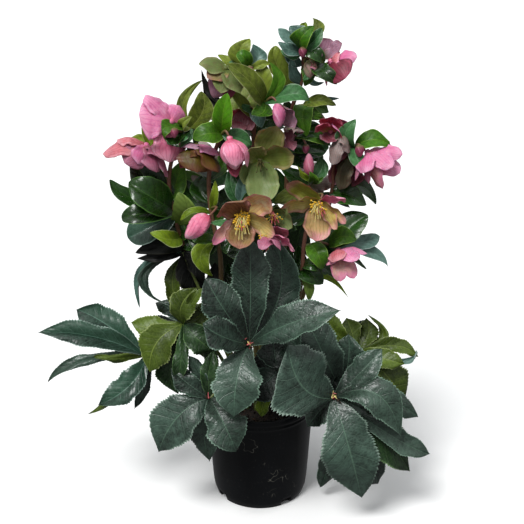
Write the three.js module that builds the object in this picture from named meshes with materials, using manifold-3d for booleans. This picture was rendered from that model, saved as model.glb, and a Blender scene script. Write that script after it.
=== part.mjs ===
// A hellebore in its nursery pot. Millimetres, +Z up, origin at the middle of the pot's base.
// Places on the plant are given as [across, up, out] and spot() turns them into points.
import * as THREE from 'three';
import { mergeVertices } from 'three/addons/utils/BufferGeometryUtils.js';
import Module from 'manifold-3d';

const wasm = await Module();
wasm.setup();

// Driving dimensions.
const rimRadius = 68.5;
const potHeight = 132;
const potSegments = 18;
const soilLevel = 120;
const rootDepth = 12;
const eyeDistance = 1300;
const eyeHeight = 880;
const bladeThickness = 1.4;
const clearance = 0.34;
const smallestDetail = 0.03;
const stemRadius = 2.9;
const stalkRadius = 2.2;
const twigRadius = 1.7;
const hubRadius = 3.6;
const receptacleRadius = 4.2;

const finish = {
  pot: { color: 0x26282a, roughness: 0.6 },
  soil: { color: 0x2b1d12, roughness: 1 },
  leaf: { color: 0x2f4a3c, roughness: 0.5 },
  oliveLeaf: { color: 0x5b6e24, roughness: 0.55 },
  stem: { color: 0x5d7a35, roughness: 0.6 },
  pink: { color: 0xd9739a, roughness: 0.6 },
  rose: { color: 0xa83a60, roughness: 0.6 },
  green: { color: 0x8d9a4c, roughness: 0.6 },
  mauve: { color: 0x9a7f86, roughness: 0.65 },
  blush: { color: 0xb58c62, roughness: 0.6 },
  stamen: { color: 0xe0b92c, roughness: 0.6 },
};

// ---- Points and small helpers -------------------------------------------------------------

// [across, up] is read on the upright plane through the pot's axis, out is the distance in front
// of that plane along the line of sight from the eye.
function spot([across, up, out]) {
  const share = out / eyeDistance;
  return new THREE.Vector3(across * (1 - share), -out, up + (eyeHeight - up) * share);
}

const ground = ([x, y]) => new THREE.Vector3(x, y, soilLevel - rootDepth);

function signedVolume(positions, triangles) {
  let total = 0;
  const corner = (i) => new THREE.Vector3().fromArray(positions, 3 * i);
  for (let i = 0; i < triangles.length; i += 3) {
    const [a, b, c] = [0, 1, 2].map((k) => corner(triangles[i + k]));
    total += a.dot(b.cross(c)) / 6;
  }
  return total;
}

function solidFrom(positions, triangles) {
  const triVerts = Uint32Array.from(triangles);
  if (signedVolume(positions, triVerts) < 0) triVerts.reverse();
  const vertProperties = Float32Array.from(positions);
  return new wasm.Manifold(new wasm.Mesh({ numProp: 3, vertProperties, triVerts }));
}

function solidOf(geometry) {
  const bare = geometry.clone();
  bare.deleteAttribute('normal');
  bare.deleteAttribute('uv');
  const welded = mergeVertices(bare, 1e-4);
  return solidFrom(welded.attributes.position.array, welded.index.array);
}

function joined(solids) {
  return solids.reduce((sum, solid) => sum.add(solid));
}

// The main body of a joined solid, without loose scraps.
function largestBody(solid) {
  return withoutSlivers(solid.decompose().sort((a, b) => b.volume() - a.volume())[0]);
}

// Joins leave corners that all but touch. Each edge shorter than the smallest detail is drawn
// together, where its two ends share no neighbours but the two corners beside it.
function withoutSlivers(solid) {
  const { vertProperties: places, triVerts } = solid.getMesh();
  let faces = [];
  for (let i = 0; i < triVerts.length; i += 3) faces.push([...triVerts.slice(i, i + 3)]);
  const gap = (a, b) => Math.hypot(...[0, 1, 2].map((k) => places[3 * a + k] - places[3 * b + k]));
  const facesAt = (v) => faces.filter((face) => face.includes(v));
  for (let changed = true; changed;) {
    changed = false;
    const shortEdges = faces.flatMap(([a, b, c]) => [[a, b], [b, c], [c, a]])
      .filter(([a, b]) => a < b && gap(a, b) < smallestDetail);
    for (const [a, b] of shortEdges) {
      const [roundA, roundB] = [new Set(facesAt(a).flat()), new Set(facesAt(b).flat())];
      const shared = [...roundA].filter((v) => roundB.has(v) && v !== a && v !== b);
      if (!roundA.has(b) || shared.length !== 2) continue;
      faces = faces.filter((face) => !(face.includes(a) && face.includes(b)))
        .map((face) => face.map((v) => (v === b ? a : v)));
      changed = true;
    }
  }
  return solidFrom(places, faces.flat());
}

function boxesMeet(a, b) {
  return [0, 1, 2].every((k) => a.min[k] <= b.max[k] && b.min[k] <= a.max[k]);
}

// A solid with the box around it, so that only near neighbours are cut.
function kept(solid) {
  return { solid, box: solid.boundingBox() };
}

function cutBy(item, cutters) {
  const near = cutters.filter((cutter) => boxesMeet(item.box, cutter.box));
  if (!near.length) return item.solid;
  return near.reduce((rest, cutter) => rest.subtract(cutter.solid), item.solid);
}

// ---- Rods, balls and blades ---------------------------------------------------------------

// A rod along a curve. `beyond` lengthens it past its last point, `grow` moves each of its faces
// outwards.
function rod(points, { radius, sides, steps, beyond = 0, grow = 0 }) {
  const [before, last] = points.slice(-2);
  const end = last.clone().addScaledVector(last.clone().sub(before).normalize(), beyond + grow);
  const corner = radius + grow / Math.cos(Math.PI / sides);
  const ring = new THREE.Shape();
  for (let i = 0; i < sides; i += 1) {
    const angle = (2 * Math.PI * i) / sides;
    const [x, y] = [corner * Math.cos(angle), corner * Math.sin(angle)];
    if (i) ring.lineTo(x, y);
    else ring.moveTo(x, y);
  }
  ring.closePath();
  return solidOf(new THREE.ExtrudeGeometry(ring, {
    steps, extrudePath: curveThrough([...points.slice(0, -1), end]), bevelEnabled: false }));
}

function curveThrough(points) {
  return new THREE.CatmullRomCurve3(points, false, 'centripetal');
}

function ball(centre, radius) {
  return solidOf(new THREE.OctahedronGeometry(1.25 * radius, 0).translate(centre.x, centre.y, centre.z));
}

// Half-width along a blade, from its root at 0 to its tip at 1, as a share of the greatest.
const outlines = {
  leaflet: (t) => 0.03 * (1 - t) + Math.sin(Math.PI * t ** 1.25) ** 0.75,
  bract: (t) => 0.08 * (1 - t) ** 2 + Math.sin(Math.PI * t ** 0.85) ** 0.75,
  sepal: (t) => 0.08 * (1 - t) ** 2 + Math.sin(Math.PI * t ** 1.25) ** 0.6,
};
const minHalfWidth = { leaflet: 1, bract: 1.3, sepal: 1.4 };
const narrowBlade = 36.5;
const rootStart = { leaflet: 2, bract: 1.2, sepal: 2.4 };
const toothDepth = { leaflet: 0.07, bract: 0, sepal: 0 };

function stationCount(length) {
  if (length < 26) return 2;
  return Math.min(5, Math.max(3, Math.round(length / 21.5)));
}

// One thin closed blade, thickest along its rib. `mid` is a point that the rib passes, `face` the
// side it looks to, `fold` lifts (or drops) the margins and `wave` ripples them. A narrow blade
// has a flat back.
function blade({ base: root, mid, tip, width, face, fold = 0.25, wave = 0, kind = 'bract', grow = 0 }) {
  const base = root.clone().addScaledVector(mid.clone().sub(root).normalize(), rootStart[kind]);
  const control = mid.clone().multiplyScalar(2).addScaledVector(base, -0.5).addScaledVector(tip, -0.5);
  const rib = new THREE.QuadraticBezierCurve3(base, control, tip);
  const side = new THREE.Vector3().crossVectors(tip.clone().sub(base), face).normalize();
  const count = stationCount(base.distanceTo(tip));
  const half = bladeThickness / 2 + grow;
  const narrow = width < narrowBlade;
  const [ridge, keel] = narrow ? [half + 0.5, -grow] : [half, -half];
  const [lean, ripple] = narrow ? [0, 0] : [fold, wave];
  let section = [[-1, 0], [0, ridge], [1, 0]];
  if (grow) section = [[-1, grow], [0, ridge], [1, grow], [1, -grow], [0, keel], [-1, -grow]];
  else if (!narrow) section.push([0, keel]);
  const positions = [];
  for (let k = 0; k <= count; k += 1) {
    const t = k / count;
    const tangent = rib.getTangent(t);
    const normal = new THREE.Vector3().crossVectors(side, tangent).normalize();
    const tooth = 1 + toothDepth[kind] * (k % 2 ? 1 : -1);
    const shaped = (width / 2) * outlines[kind](t) * tooth;
    const reach = Math.max(minHalfWidth[kind] * (1 - 0.6 * t), shaped) + grow;
    const beyond = { 0: -grow, [count]: grow }[k] ?? 0;
    const middle = rib.getPoint(t).addScaledVector(tangent, beyond);
    for (const [s, lift] of section) {
      const rise = Math.abs(s) * reach * Math.sin(lean) + s * ripple * Math.sin(5.2 * t + 0.6) + lift;
      positions.push(...middle.clone().addScaledVector(side, s * reach * Math.cos(lean))
        .addScaledVector(normal, rise).toArray());
    }
  }
  return solidFrom(positions, skinTriangles(count, section.map(([s]) => s === 0)));
}

// Triangles of a closed skin over `count` spans between rings of corners, capped at both ends.
// `onRib` tells which corners of a ring lie on the rib: every patch is split from its margin to
// the rib one ring on, so that the front and the back bend alike.
function skinTriangles(count, onRib) {
  const points = onRib.length;
  const triangles = [];
  for (let k = 0; k < count; k += 1) {
    for (let i = 0; i < points; i += 1) {
      const [here, beside] = [points * k + i, points * k + ((i + 1) % points)];
      const [next, nextBeside] = [here + points, beside + points];
      if (onRib[i]) triangles.push(here, beside, next, beside, nextBeside, next);
      else triangles.push(here, beside, nextBeside, here, nextBeside, next);
    }
  }
  for (let i = 2; i < points; i += 1) {
    const last = points * count;
    triangles.push(0, i, i - 1, last, last + i - 1, last + i);
  }
  return triangles;
}

// A closed bud: an egg with five shallow folds where the sepals wrap.
function egg(root, tip, width) {
  const length = root.distanceTo(tip);
  const profile = [[0, 0], [0.16, 0.3], [0.42, 0.5], [0.72, 0.38], [0.92, 0.14], [1, 0]]
    .map(([along, out]) => new THREE.Vector2(out * width, along * length));
  const body = new THREE.LatheGeometry(profile, 10);
  const place = body.attributes.position;
  for (let i = 0; i < place.count; i += 1) {
    const squeeze = 1 - 0.07 * Math.cos(5 * Math.atan2(place.getZ(i), place.getX(i)));
    place.setXYZ(i, place.getX(i) * squeeze, place.getY(i), place.getZ(i) * squeeze);
  }
  const turn = new THREE.Quaternion()
    .setFromUnitVectors(new THREE.Vector3(0, 1, 0), tip.clone().sub(root).normalize());
  return solidOf(body.applyQuaternion(turn).translate(root.x, root.y, root.z));
}

// ---- Pot and soil -------------------------------------------------------------------------

const innerRadius = (z) => 56.6 + ((rimRadius - 5 - 56.6) * (z - 18)) / (potHeight - 30);

function potSolid() {
  const outer = [
    [0, 0], [54, 0], [57.6, 8], [59, 18], [65.4, 117], [66.3, 119],
    [rimRadius, 126], [rimRadius, potHeight],
  ];
  const inner = [[rimRadius - 2.6, potHeight], [innerRadius(18), 18], [51, 4.6], [0, 3]];
  const profile = [...outer, ...inner].map(([x, y]) => new THREE.Vector2(x, y));
  const body = solidOf(new THREE.LatheGeometry(profile, potSegments).rotateX(Math.PI / 2));
  const notchCount = 4;
  const notches = Array.from({ length: notchCount }, (_, i) => {
    const angle = (2 * Math.PI * (i + 0.39)) / notchCount;
    const notch = new THREE.BoxGeometry(13, 14, 10);
    notch.translate(56, 0, 4).rotateZ(angle);
    return solidOf(notch);
  });
  return notches.reduce((rest, notch) => rest.subtract(notch), body);
}

function soilSolid() {
  const profile = [
    [0, 3 + clearance], [50.2, 5.2], [innerRadius(20) - 0.8, 20],
    [innerRadius(soilLevel) - 0.9, soilLevel - 1], [0, soilLevel],
  ].map(([x, y]) => new THREE.Vector2(x, y));
  return solidOf(new THREE.LatheGeometry(profile, potSegments).rotateX(Math.PI / 2));
}

// ---- Basal leaves -------------------------------------------------------------------------
// root: [x, y] on the soil. route: places the stalk passes. hub: where the leaflets meet.
// leaflets: [place the midrib passes, tip, width, fold].

const towardViewer = new THREE.Vector3(0, -0.7, 0.7);
const awayFromViewer = new THREE.Vector3(0, 0.7, 0.7);

const basalLeaves = [
  { name: 'leaf_front', root: [-5, -18], route: [[-9, 166, 40]], hub: [-13, 200, 60], leaflets: [
    [[-7, 270, 55], [-5, 337, 42], 52, 0.22],
    [[23, 262, 36], [33, 325, 26], 42, 0.3],
    [[-45, 249, 72], [-66, 291, 62], 50, 0.25],
    [[-46, 217, 86], [-70, 230, 90], 40, 0.35],
    [[-29, 156, 98], [-32, 98, 108], 62, 0.2],
    [[39, 225, 86], [96, 249, 94], 52, 0.3]] },
  { name: 'leaf_lower_front', root: [7, -19], route: [[14, 146, 36]], hub: [22, 166, 52], leaflets: [
    [[6, 146, 68], [-25, 127, 80], 44, 0.25],
    [[31, 144, 60], [30, 114, 70], 36, 0.25],
    [[12, 125, 64], [2, 97, 74], 26, 0.3]] },
  { name: 'leaf_left', root: [-15, -15], route: [[-38, 150, 44]], hub: [-62, 125, 60], leaflets: [
    [[-110, 97, 74], [-129, 44, 66], 54, 0.25],
    [[-45, 88, 92], [-30, 47, 98], 50, 0.22],
    [[-72, 79, 70], [-66, 33, 66], 36, 0.3],
    [[-86, 144, 62], [-109, 167, 50], 42, 0.3],
    [[-63, 158, 54], [-56, 192, 42], 26, 0.4]] },
  { name: 'leaf_far_left', root: [-28, 3], route: [[-86, 196, 0]], hub: [-139, 184, 5], leaflets: [
    [[-181, 224, -8], [-218, 244, -12], 42, 0.2],
    [[-203, 211, 14], [-267, 218, 20], 36, 0.35],
    [[-215, 181, 30], [-261, 149, 30], 16, 0.5],
    [[-158, 151, 38], [-213, 107, 42], 44, 0.3],
    [[-133, 148, 16], [-153, 115, 8], 26, 0.35]] },
  { name: 'leaf_olive_left', root: [-24, -9], route: [[-56, 196, 12]], hub: [-92, 228, 15], leaflets: [
    [[-127, 222, 14], [-155, 230, 8], 30, 0.3],
    [[-118, 203, 32], [-133, 158, 36], 54, 0.2],
    [[-114, 179, 30], [-103, 125, 34], 34, 0.3],
    [[-90, 195, 44], [-98, 151, 50], 46, 0.4],
    [[-106, 270, 4], [-98, 312, -8], 28, 0.25],
    [[-91, 252, 26], [-78, 282, 20], 36, 0.2]] },
  { name: 'leaf_upper_left', root: [-20, -1], route: [[-58, 236, 12]], hub: [-90, 322, 6], leaflets: [
    [[-140, 314, -2], [-150, 252, 2], 12, 0.6],
    [[-133, 291, 14], [-100, 242, 18], 16, 0.45],
    [[-83, 296, 8], [-68, 265, 8], 36, 0.2]] },
  { name: 'leaf_right_front', root: [17, -15], route: [[54, 150, 46]], hub: [92, 125, 64], leaflets: [
    [[57, 145, 86], [21, 181, 82], 80, 0.15],
    [[125, 162, 60], [148, 195, 50], 44, 0.3],
    [[144, 131, 82], [177, 70, 90], 48, 0.25],
    [[151, 63, 74], [212, 41, 66], 50, 0.25],
    [[109, 53, 98], [131, -23, 84], 74, 0.18]] },
  { name: 'leaf_right_behind', root: [24, -7], route: [[62, 168, 22]], hub: [100, 134, 34], leaflets: [
    [[76, 190, 48], [55, 236, 40], 46, 0.2],
    [[105, 176, 36], [106, 217, 28], 42, 0.25],
    [[159, 122, 44], [197, 98, 40], 34, 0.3],
    [[84, 42, 40], [67, -1, 34], 32, 0.3],
    [[137, 42, 44], [151, -1, 34], 34, 0.3]] },
  { name: 'leaf_olive_right', root: [27, 2], route: [[76, 182, 4]], hub: [118, 192, 8], leaflets: [
    [[98, 216, 14], [80, 243, 10], 24, 0.3],
    [[112, 216, 0], [106, 238, -8], 28, 0.2],
    [[129, 214, -6], [131, 235, -14], 26, 0.2],
    [[151, 212, -14], [133, 239, -24], 12, 0.4],
    [[158, 195, 6], [191, 188, 8], 24, 0.35],
    [[150, 181, 24], [177, 173, 28], 26, 0.3],
    [[155, 153, 26], [176, 121, 22], 46, 0.2]] },
  { name: 'leaf_back_left', root: [-19, 17], route: [[-46, 200, -50]], hub: [-72, 222, -76],
    leaflets: fan([-72, 222, -76], 205, 78, 4) },
  { name: 'leaf_back', root: [1, 25], route: [[4, 200, -54]], hub: [8, 232, -84],
    leaflets: fan([8, 232, -84], 272, 84, 4) },
  { name: 'leaf_back_right', root: [20, 16], route: [[46, 196, -48]], hub: [82, 216, -72],
    leaflets: fan([82, 216, -72], 335, 74, 4) },
];

// A leaf seen by nobody from the front: leaflets spread evenly round the heading (in degrees,
// 270 is straight back), each one drooping at its tip.
function fan(hub, heading, length, count) {
  const leaflets = [];
  for (let i = 0; i < count; i += 1) {
    const spread = i / (count - 1) - 0.5;
    const angle = THREE.MathUtils.degToRad(heading + 190 * spread);
    const reach = length * (1 - 0.35 * Math.abs(spread));
    const place = (share, up) => [
      hub[0] + reach * share * Math.cos(angle),
      hub[1] + up,
      hub[2] + reach * share * Math.sin(angle),
    ];
    leaflets.push([place(0.55, 6), place(1, -26), 40 - 12 * Math.abs(spread), 0.25]);
  }
  return leaflets;
}

function leafParts({ root, route, hub, leaflets }) {
  const centre = spot(hub);
  const stalkPoints = [ground(root), new THREE.Vector3(root[0] * 1.1, root[1] * 1.1, soilLevel + 12),
    ...route.map(spot), centre];
  const face = hub[2] < -40 ? awayFromViewer : towardViewer;
  const blades = (grow) => leaflets.map(([mid, tip, width, fold]) => blade({
    base: centre, mid: spot(mid), tip: spot(tip), width, fold, face, grow, wave: 1.2, kind: 'leaflet' }));
  const core = (grow) => [
    rod(stalkPoints, { radius: stalkRadius, sides: 4, steps: 5, grow }),
    ball(centre, hubRadius + grow),
  ];
  return { core, blades };
}

// ---- Flowering stems ----------------------------------------------------------------------
// path: places the stem passes. twigs: side shoots as lists of places. buds: [place, radius].
// bracts: [root, place the midrib passes, tip, width].

const stems = [
  { name: 'stem_left_tall', root: [-12, -3], path: [[-26, 200, 6], [-44, 262, 14], [-47, 320, 18],
    [-57, 378, 20], [-57, 425, 20], [-44, 466, 22], [-37, 505, 8], [-36, 538, 8]],
  twigs: [[[-44, 466, 22], [-38, 470, 32], [-34, 462, 36]], [[-57, 430, 20], [-62, 452, 14], [-71, 453, 15]],
    [[-57, 378, 20], [-50, 378, 38], [-58, 368, 50]]],
  buds: [],
  bracts: [
    [[-43, 467, 24], [-41, 490, 32], [-36, 514, 28], 23],
    [[-45, 466, 24], [-60, 467, 42], [-76, 461, 38], 26],
    [[-42, 466, 22], [-26, 468, 26], [-9, 464, 22], 15],
    [[-58, 385, 18], [-70, 402, 8], [-62, 420, 4], 22],
    [[-54, 370, 22], [-76, 374, 36], [-92, 362, 36], 10],
    [[-49, 334, 22], [-60, 338, 48], [-76, 334, 50], 15],
    [[-50, 340, 20], [-70, 326, 42], [-55, 292, 38], 23]] },
  { name: 'stem_left', root: [-17, 6], path: [[-48, 220, -6], [-84, 310, -8], [-99, 370, 2], [-104, 405, 6],
    [-100, 435, 6], [-84, 466, 8], [-78, 474, 8]],
  twigs: [[[-86, 464, 8], [-91, 478, 8], [-98, 481, 14]], [[-104, 408, 6], [-114, 442, 0], [-127, 453, 5]],
    [[-84, 466, 8], [-90, 470, 20], [-96, 469, 26]]],
  buds: [[[-96, 468, 27], 5]],
  bracts: [
    [[-77, 474, 9], [-67, 494, 15], [-68, 518, 12], 25],
    [[-80, 474, 6], [-84, 507, -3], [-57, 530, -6], 12],
    [[-80, 472, 10], [-98, 474, 24], [-113, 463, 26], 20],
    [[-79, 474, 10], [-74, 480, 22], [-71, 487, 24], 14],
    [[-120, 450, 2], [-127, 464, -2], [-131, 480, -4], 11],
    [[-120, 450, 2], [-136, 460, -4], [-151, 459, -4], 12],
    [[-103, 372, 6], [-130, 390, 28], [-153, 410, 20], 44],
    [[-104, 380, 4], [-127, 410, -2], [-146, 436, -10], 40],
    [[-102, 370, 6], [-146, 391, 4], [-175, 409, 2], 12],
    [[-102, 370, 8], [-138, 368, 34], [-162, 364, 26], 32],
    [[-100, 366, 4], [-132, 350, 10], [-138, 331, 10], 34],
    [[-97, 358, 4], [-108, 342, 28], [-127, 347, 32], 17],
    [[-99, 368, 6], [-90, 376, 30], [-84, 398, 30], 33],
    [[-103, 388, 4], [-96, 408, -8], [-86, 436, -12], 23]] },
  { name: 'stem_middle', root: [-2, 5], path: [[-8, 250, -16], [-10, 380, -20], [-7, 460, -14], [-4, 490, -4],
    [5, 503, 8], [0, 522, 2], [-13, 541, 2]],
  twigs: [[[6, 503, 8], [14, 509, 16], [20, 503, 20]], [[-7, 458, -14], [-14, 486, -16], [-18, 494, -8]],
    [[-13, 541, 2], [-12, 543, 12], [-11, 541, 18]]],
  buds: [[[-11, 541, 19], 4.2]],
  bracts: [
    [[-13, 541, 2], [-24, 560, 4], [-14, 576, -2], 20],
    [[-12, 541, 0], [0, 556, -8], [-7, 570, -12], 20],
    [[-13, 540, 4], [-17, 553, 16], [-25, 559, 12], 20],
    [[-11, 540, 2], [0, 546, 8], [11, 547, 6], 11],
    [[3, 502, 8], [-13, 523, 30], [-37, 547, 32], 29],
    [[5, 502, 10], [4, 494, 28], [-6, 485, 34], 23],
    [[7, 503, 8], [34, 511, 22], [54, 506, 20], 24],
    [[7, 503, 8], [23, 526, 16], [12, 548, 12], 20],
    [[4, 504, 6], [3, 522, 14], [2, 539, 12], 14],
    [[-6, 486, -6], [-20, 502, 0], [-32, 521, -2], 14]] },
  { name: 'stem_right_tall', root: [8, 3], path: [[24, 240, -14], [30, 380, -20], [32, 460, -18],
    [37, 500, -10], [45, 522, -6], [48, 546, -2], [47, 562, 2]],
  twigs: [[[48, 552, 0], [60, 552, -4], [68, 553, 0]], [[47, 542, -2], [62, 543, 2], [77, 549, 8]],
    [[48, 548, -2], [52, 555, 4], [55, 552, 8]], [[37, 498, -10], [52, 500, -8], [68, 490, -2], [79, 472, 6]],
    [[33, 478, -14], [28, 482, 4], [30, 473, 16]], [[47, 562, 2], [47, 564, 12], [47, 562, 20]]],
  buds: [[[47, 561, 21], 5]],
  bracts: [
    [[47, 562, 4], [50, 580, 20], [70, 587, 14], 24],
    [[49, 562, 0], [72, 582, -10], [56, 598, -16], 10],
    [[46, 562, 0], [42, 582, -8], [32, 585, -10], 12],
    [[45, 561, 2], [34, 575, 4], [21, 586, 0], 10],
    [[45, 558, 2], [32, 562, 12], [20, 572, 10], 11],
    [[48, 560, 4], [60, 559, 20], [71, 548, 18], 17],
    [[45, 524, -6], [36, 538, 4], [34, 552, 6], 15],
    [[42, 512, -8], [19, 540, 0], [13, 568, -6], 30],
    [[60, 544, 3], [70, 543, 24], [84, 526, 26], 23],
    [[48, 499, -8], [66, 509, 4], [86, 500, 2], 15],
    [[52, 499, -8], [52, 492, 4], [71, 484, 4], 23],
    [[56, 498, -7], [48, 490, 10], [53, 464, 14], 23],
    [[33, 464, -17], [54, 468, 2], [80, 453, 6], 23]] },
  { name: 'stem_right', root: [17, 5], path: [[36, 210, -14], [66, 320, -22], [83, 400, -14], [84, 432, -10],
    [96, 450, 0], [106, 452, 4]],
  twigs: [[[106, 452, 4], [114, 451, 6], [121, 446, 9]], [[95, 449, 0], [98, 466, -2], [93, 469, 6]],
    [[96, 450, 0], [101, 448, -4], [104, 443, -6]], [[106, 452, 4], [112, 454, 16], [113, 449, 24]]],
  buds: [[[113, 448, 25], 6]],
  bracts: [
    [[104, 451, 4], [96, 466, 16], [107, 484, 12], 22],
    [[107, 452, 4], [122, 470, 10], [141, 464, 6], 24],
    [[108, 452, 2], [130, 460, -12], [147, 457, -14], 12],
    [[107, 450, 6], [110, 437, 24], [118, 425, 26], 17],
    [[84, 402, -14], [116, 404, -14], [151, 385, -14], 16],
    [[83, 396, -14], [102, 396, -2], [121, 382, 0], 18]] },
  { name: 'stem_right_front', root: [14, -6], path: [[30, 190, 10], [44, 250, 22], [50, 292, 24],
    [52, 335, 18], [60, 375, 12], [66, 394, 16]],
  twigs: [[[66, 394, 16], [72, 394, 26], [70, 388, 31]], [[52, 330, 20], [74, 334, 14], [91, 325, 23]],
    [[60, 376, 12], [56, 396, 0], [57, 416, 8]]],
  buds: [],
  bracts: [
    [[65, 392, 16], [40, 400, 20], [21, 382, 24], 23],
    [[57, 410, 6], [66, 410, 10], [73, 415, 12], 9],
    [[57, 408, 4], [70, 424, -6], [68, 438, -10], 13],
    [[57, 406, 4], [62, 412, 18], [57, 422, 20], 12],
    [[57, 404, 4], [40, 416, -2], [24, 426, -4], 20],
    [[82, 331, 17], [104, 364, 4], [123, 366, 0], 30],
    [[80, 332, 17], [96, 342, 24], [113, 338, 22], 23],
    [[84, 331, 17], [112, 348, 0], [139, 342, -6], 18],
    [[86, 329, 18], [128, 331, 2], [151, 303, 2], 14],
    [[60, 333, 18], [64, 317, 40], [70, 291, 38], 26],
    [[50, 300, 25], [65, 302, 36], [79, 281, 34], 26],
    [[50, 298, 25], [54, 280, 38], [57, 259, 38], 13],
    [[50, 302, 25], [61, 309, 44], [76, 302, 44], 20]] },
  { name: 'stem_front', root: [3, -9], path: [[-4, 190, 10], [-14, 260, 12], [-20, 330, 24], [-24, 368, 36],
    [-22, 386, 38]],
  twigs: [[[-22, 386, 38], [-12, 412, 22], [-2, 434, 28]], [[-24, 372, 37], [-24, 374, 50], [-20, 367, 56]],
    [[-22, 345, 29], [0, 356, 42], [11, 346, 57]], [[-22, 384, 38], [0, 386, 34], [13, 376, 44]]],
  buds: [],
  bracts: [
    [[-23, 384, 38], [-32, 402, 34], [-34, 425, 22], 17],
    [[-22, 384, 38], [-20, 403, 36], [-17, 421, 26], 15],
    [[-21, 382, 38], [-10, 392, 46], [0, 398, 40], 11],
    [[-24, 366, 36], [-40, 358, 50], [-57, 359, 52], 12]] },
  { name: 'stem_back_left', root: [-9, 13], path: [[-30, 250, -44], [-52, 350, -54], [-58, 405, -48]],
    twigs: [[[-58, 405, -48], [-58, 428, -40], [-60, 434, -50]]], buds: [],
    bracts: [...rosette([-57, 400, -50], 54, 34, 3),
      [[-40, 296, -49], [-46, 309, -42], [-56, 345, -38], 36]] },
  { name: 'stem_back', root: [0, 16], path: [[0, 260, -50], [-8, 400, -60], [-14, 474, -50]],
    twigs: [[[-14, 474, -50], [-16, 494, -40], [-18, 500, -50]]], buds: [],
    bracts: [...rosette([-14, 470, -51], 46, 30, 3),
      [[-3, 318, -55], [5, 342, -46], [19, 382, -40], 36]] },
  { name: 'stem_back_right', root: [9, 14], path: [[26, 240, -46], [44, 330, -56], [52, 382, -52]],
    twigs: [[[52, 382, -52], [55, 402, -44], [56, 408, -54]]], buds: [],
    bracts: [...rosette([50, 374, -54], 54, 34, 3),
      [[38, 318, -53], [43, 330, -44], [51, 374, -38], 36],
      [[34, 292, -51], [48, 283, -44], [66, 317, -40], 34]] },
];

// Bracts spread evenly round a hidden stem, on its far side.
function rosette(centre, length, width, count) {
  const bracts = [];
  for (let i = 0; i < count; i += 1) {
    const angle = Math.PI * (1.0 + i / (count - 1));
    const place = (reach, up) => [
      centre[0] + reach * Math.cos(angle), centre[1] + up, centre[2] + reach * Math.sin(angle)];
    bracts.push([centre, place(0.5 * length, 12), place(length, 4 + 8 * (i % 2)), width]);
  }
  return bracts;
}

// The place nearest to another on the middle lines of some rods.
function nearestOn(rods, place) {
  const chords = rods.flatMap(({ points, steps }) => {
    const corners = curveThrough(points).getSpacedPoints(steps);
    return corners.slice(1).map((corner, i) => new THREE.Line3(corners[i], corner));
  });
  return chords.map((chord) => chord.closestPointToPoint(place, true, new THREE.Vector3()))
    .sort((a, b) => a.distanceTo(place) - b.distanceTo(place))[0];
}

function stemParts({ root, path, twigs, buds, bracts }) {
  const points = [ground(root), new THREE.Vector3(root[0], root[1], soilLevel + 6), ...path.map(spot)];
  const face = path[0][2] < -40 ? awayFromViewer : towardViewer;
  const trunk = { points, steps: 7 };
  const shoots = twigs.map(([start, ...rest]) => (
    { points: [nearestOn([trunk], spot(start)), ...rest.map(spot)], steps: rest.length }));
  const core = (grow) => [
    rod(trunk.points, { radius: stemRadius, sides: 5, steps: trunk.steps, beyond: 2, grow }),
    ...shoots.map((shoot) => rod(shoot.points, { radius: twigRadius, sides: 3, steps: shoot.steps, grow })),
    ...buds.map(([place, radius]) => ball(spot(place), radius + grow)),
  ];
  const blades = (grow) => bracts.map(([base, mid, tip, width]) => blade({
    base: nearestOn([trunk, ...shoots], spot(base)), mid: spot(mid), tip: spot(tip), width, face, grow,
    kind: 'bract' }));
  return { core, blades };
}

// ---- Blooms -------------------------------------------------------------------------------
// at: the receptacle. look: the way the bloom faces. sepals: [tip, width, how far it bellies].

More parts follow.
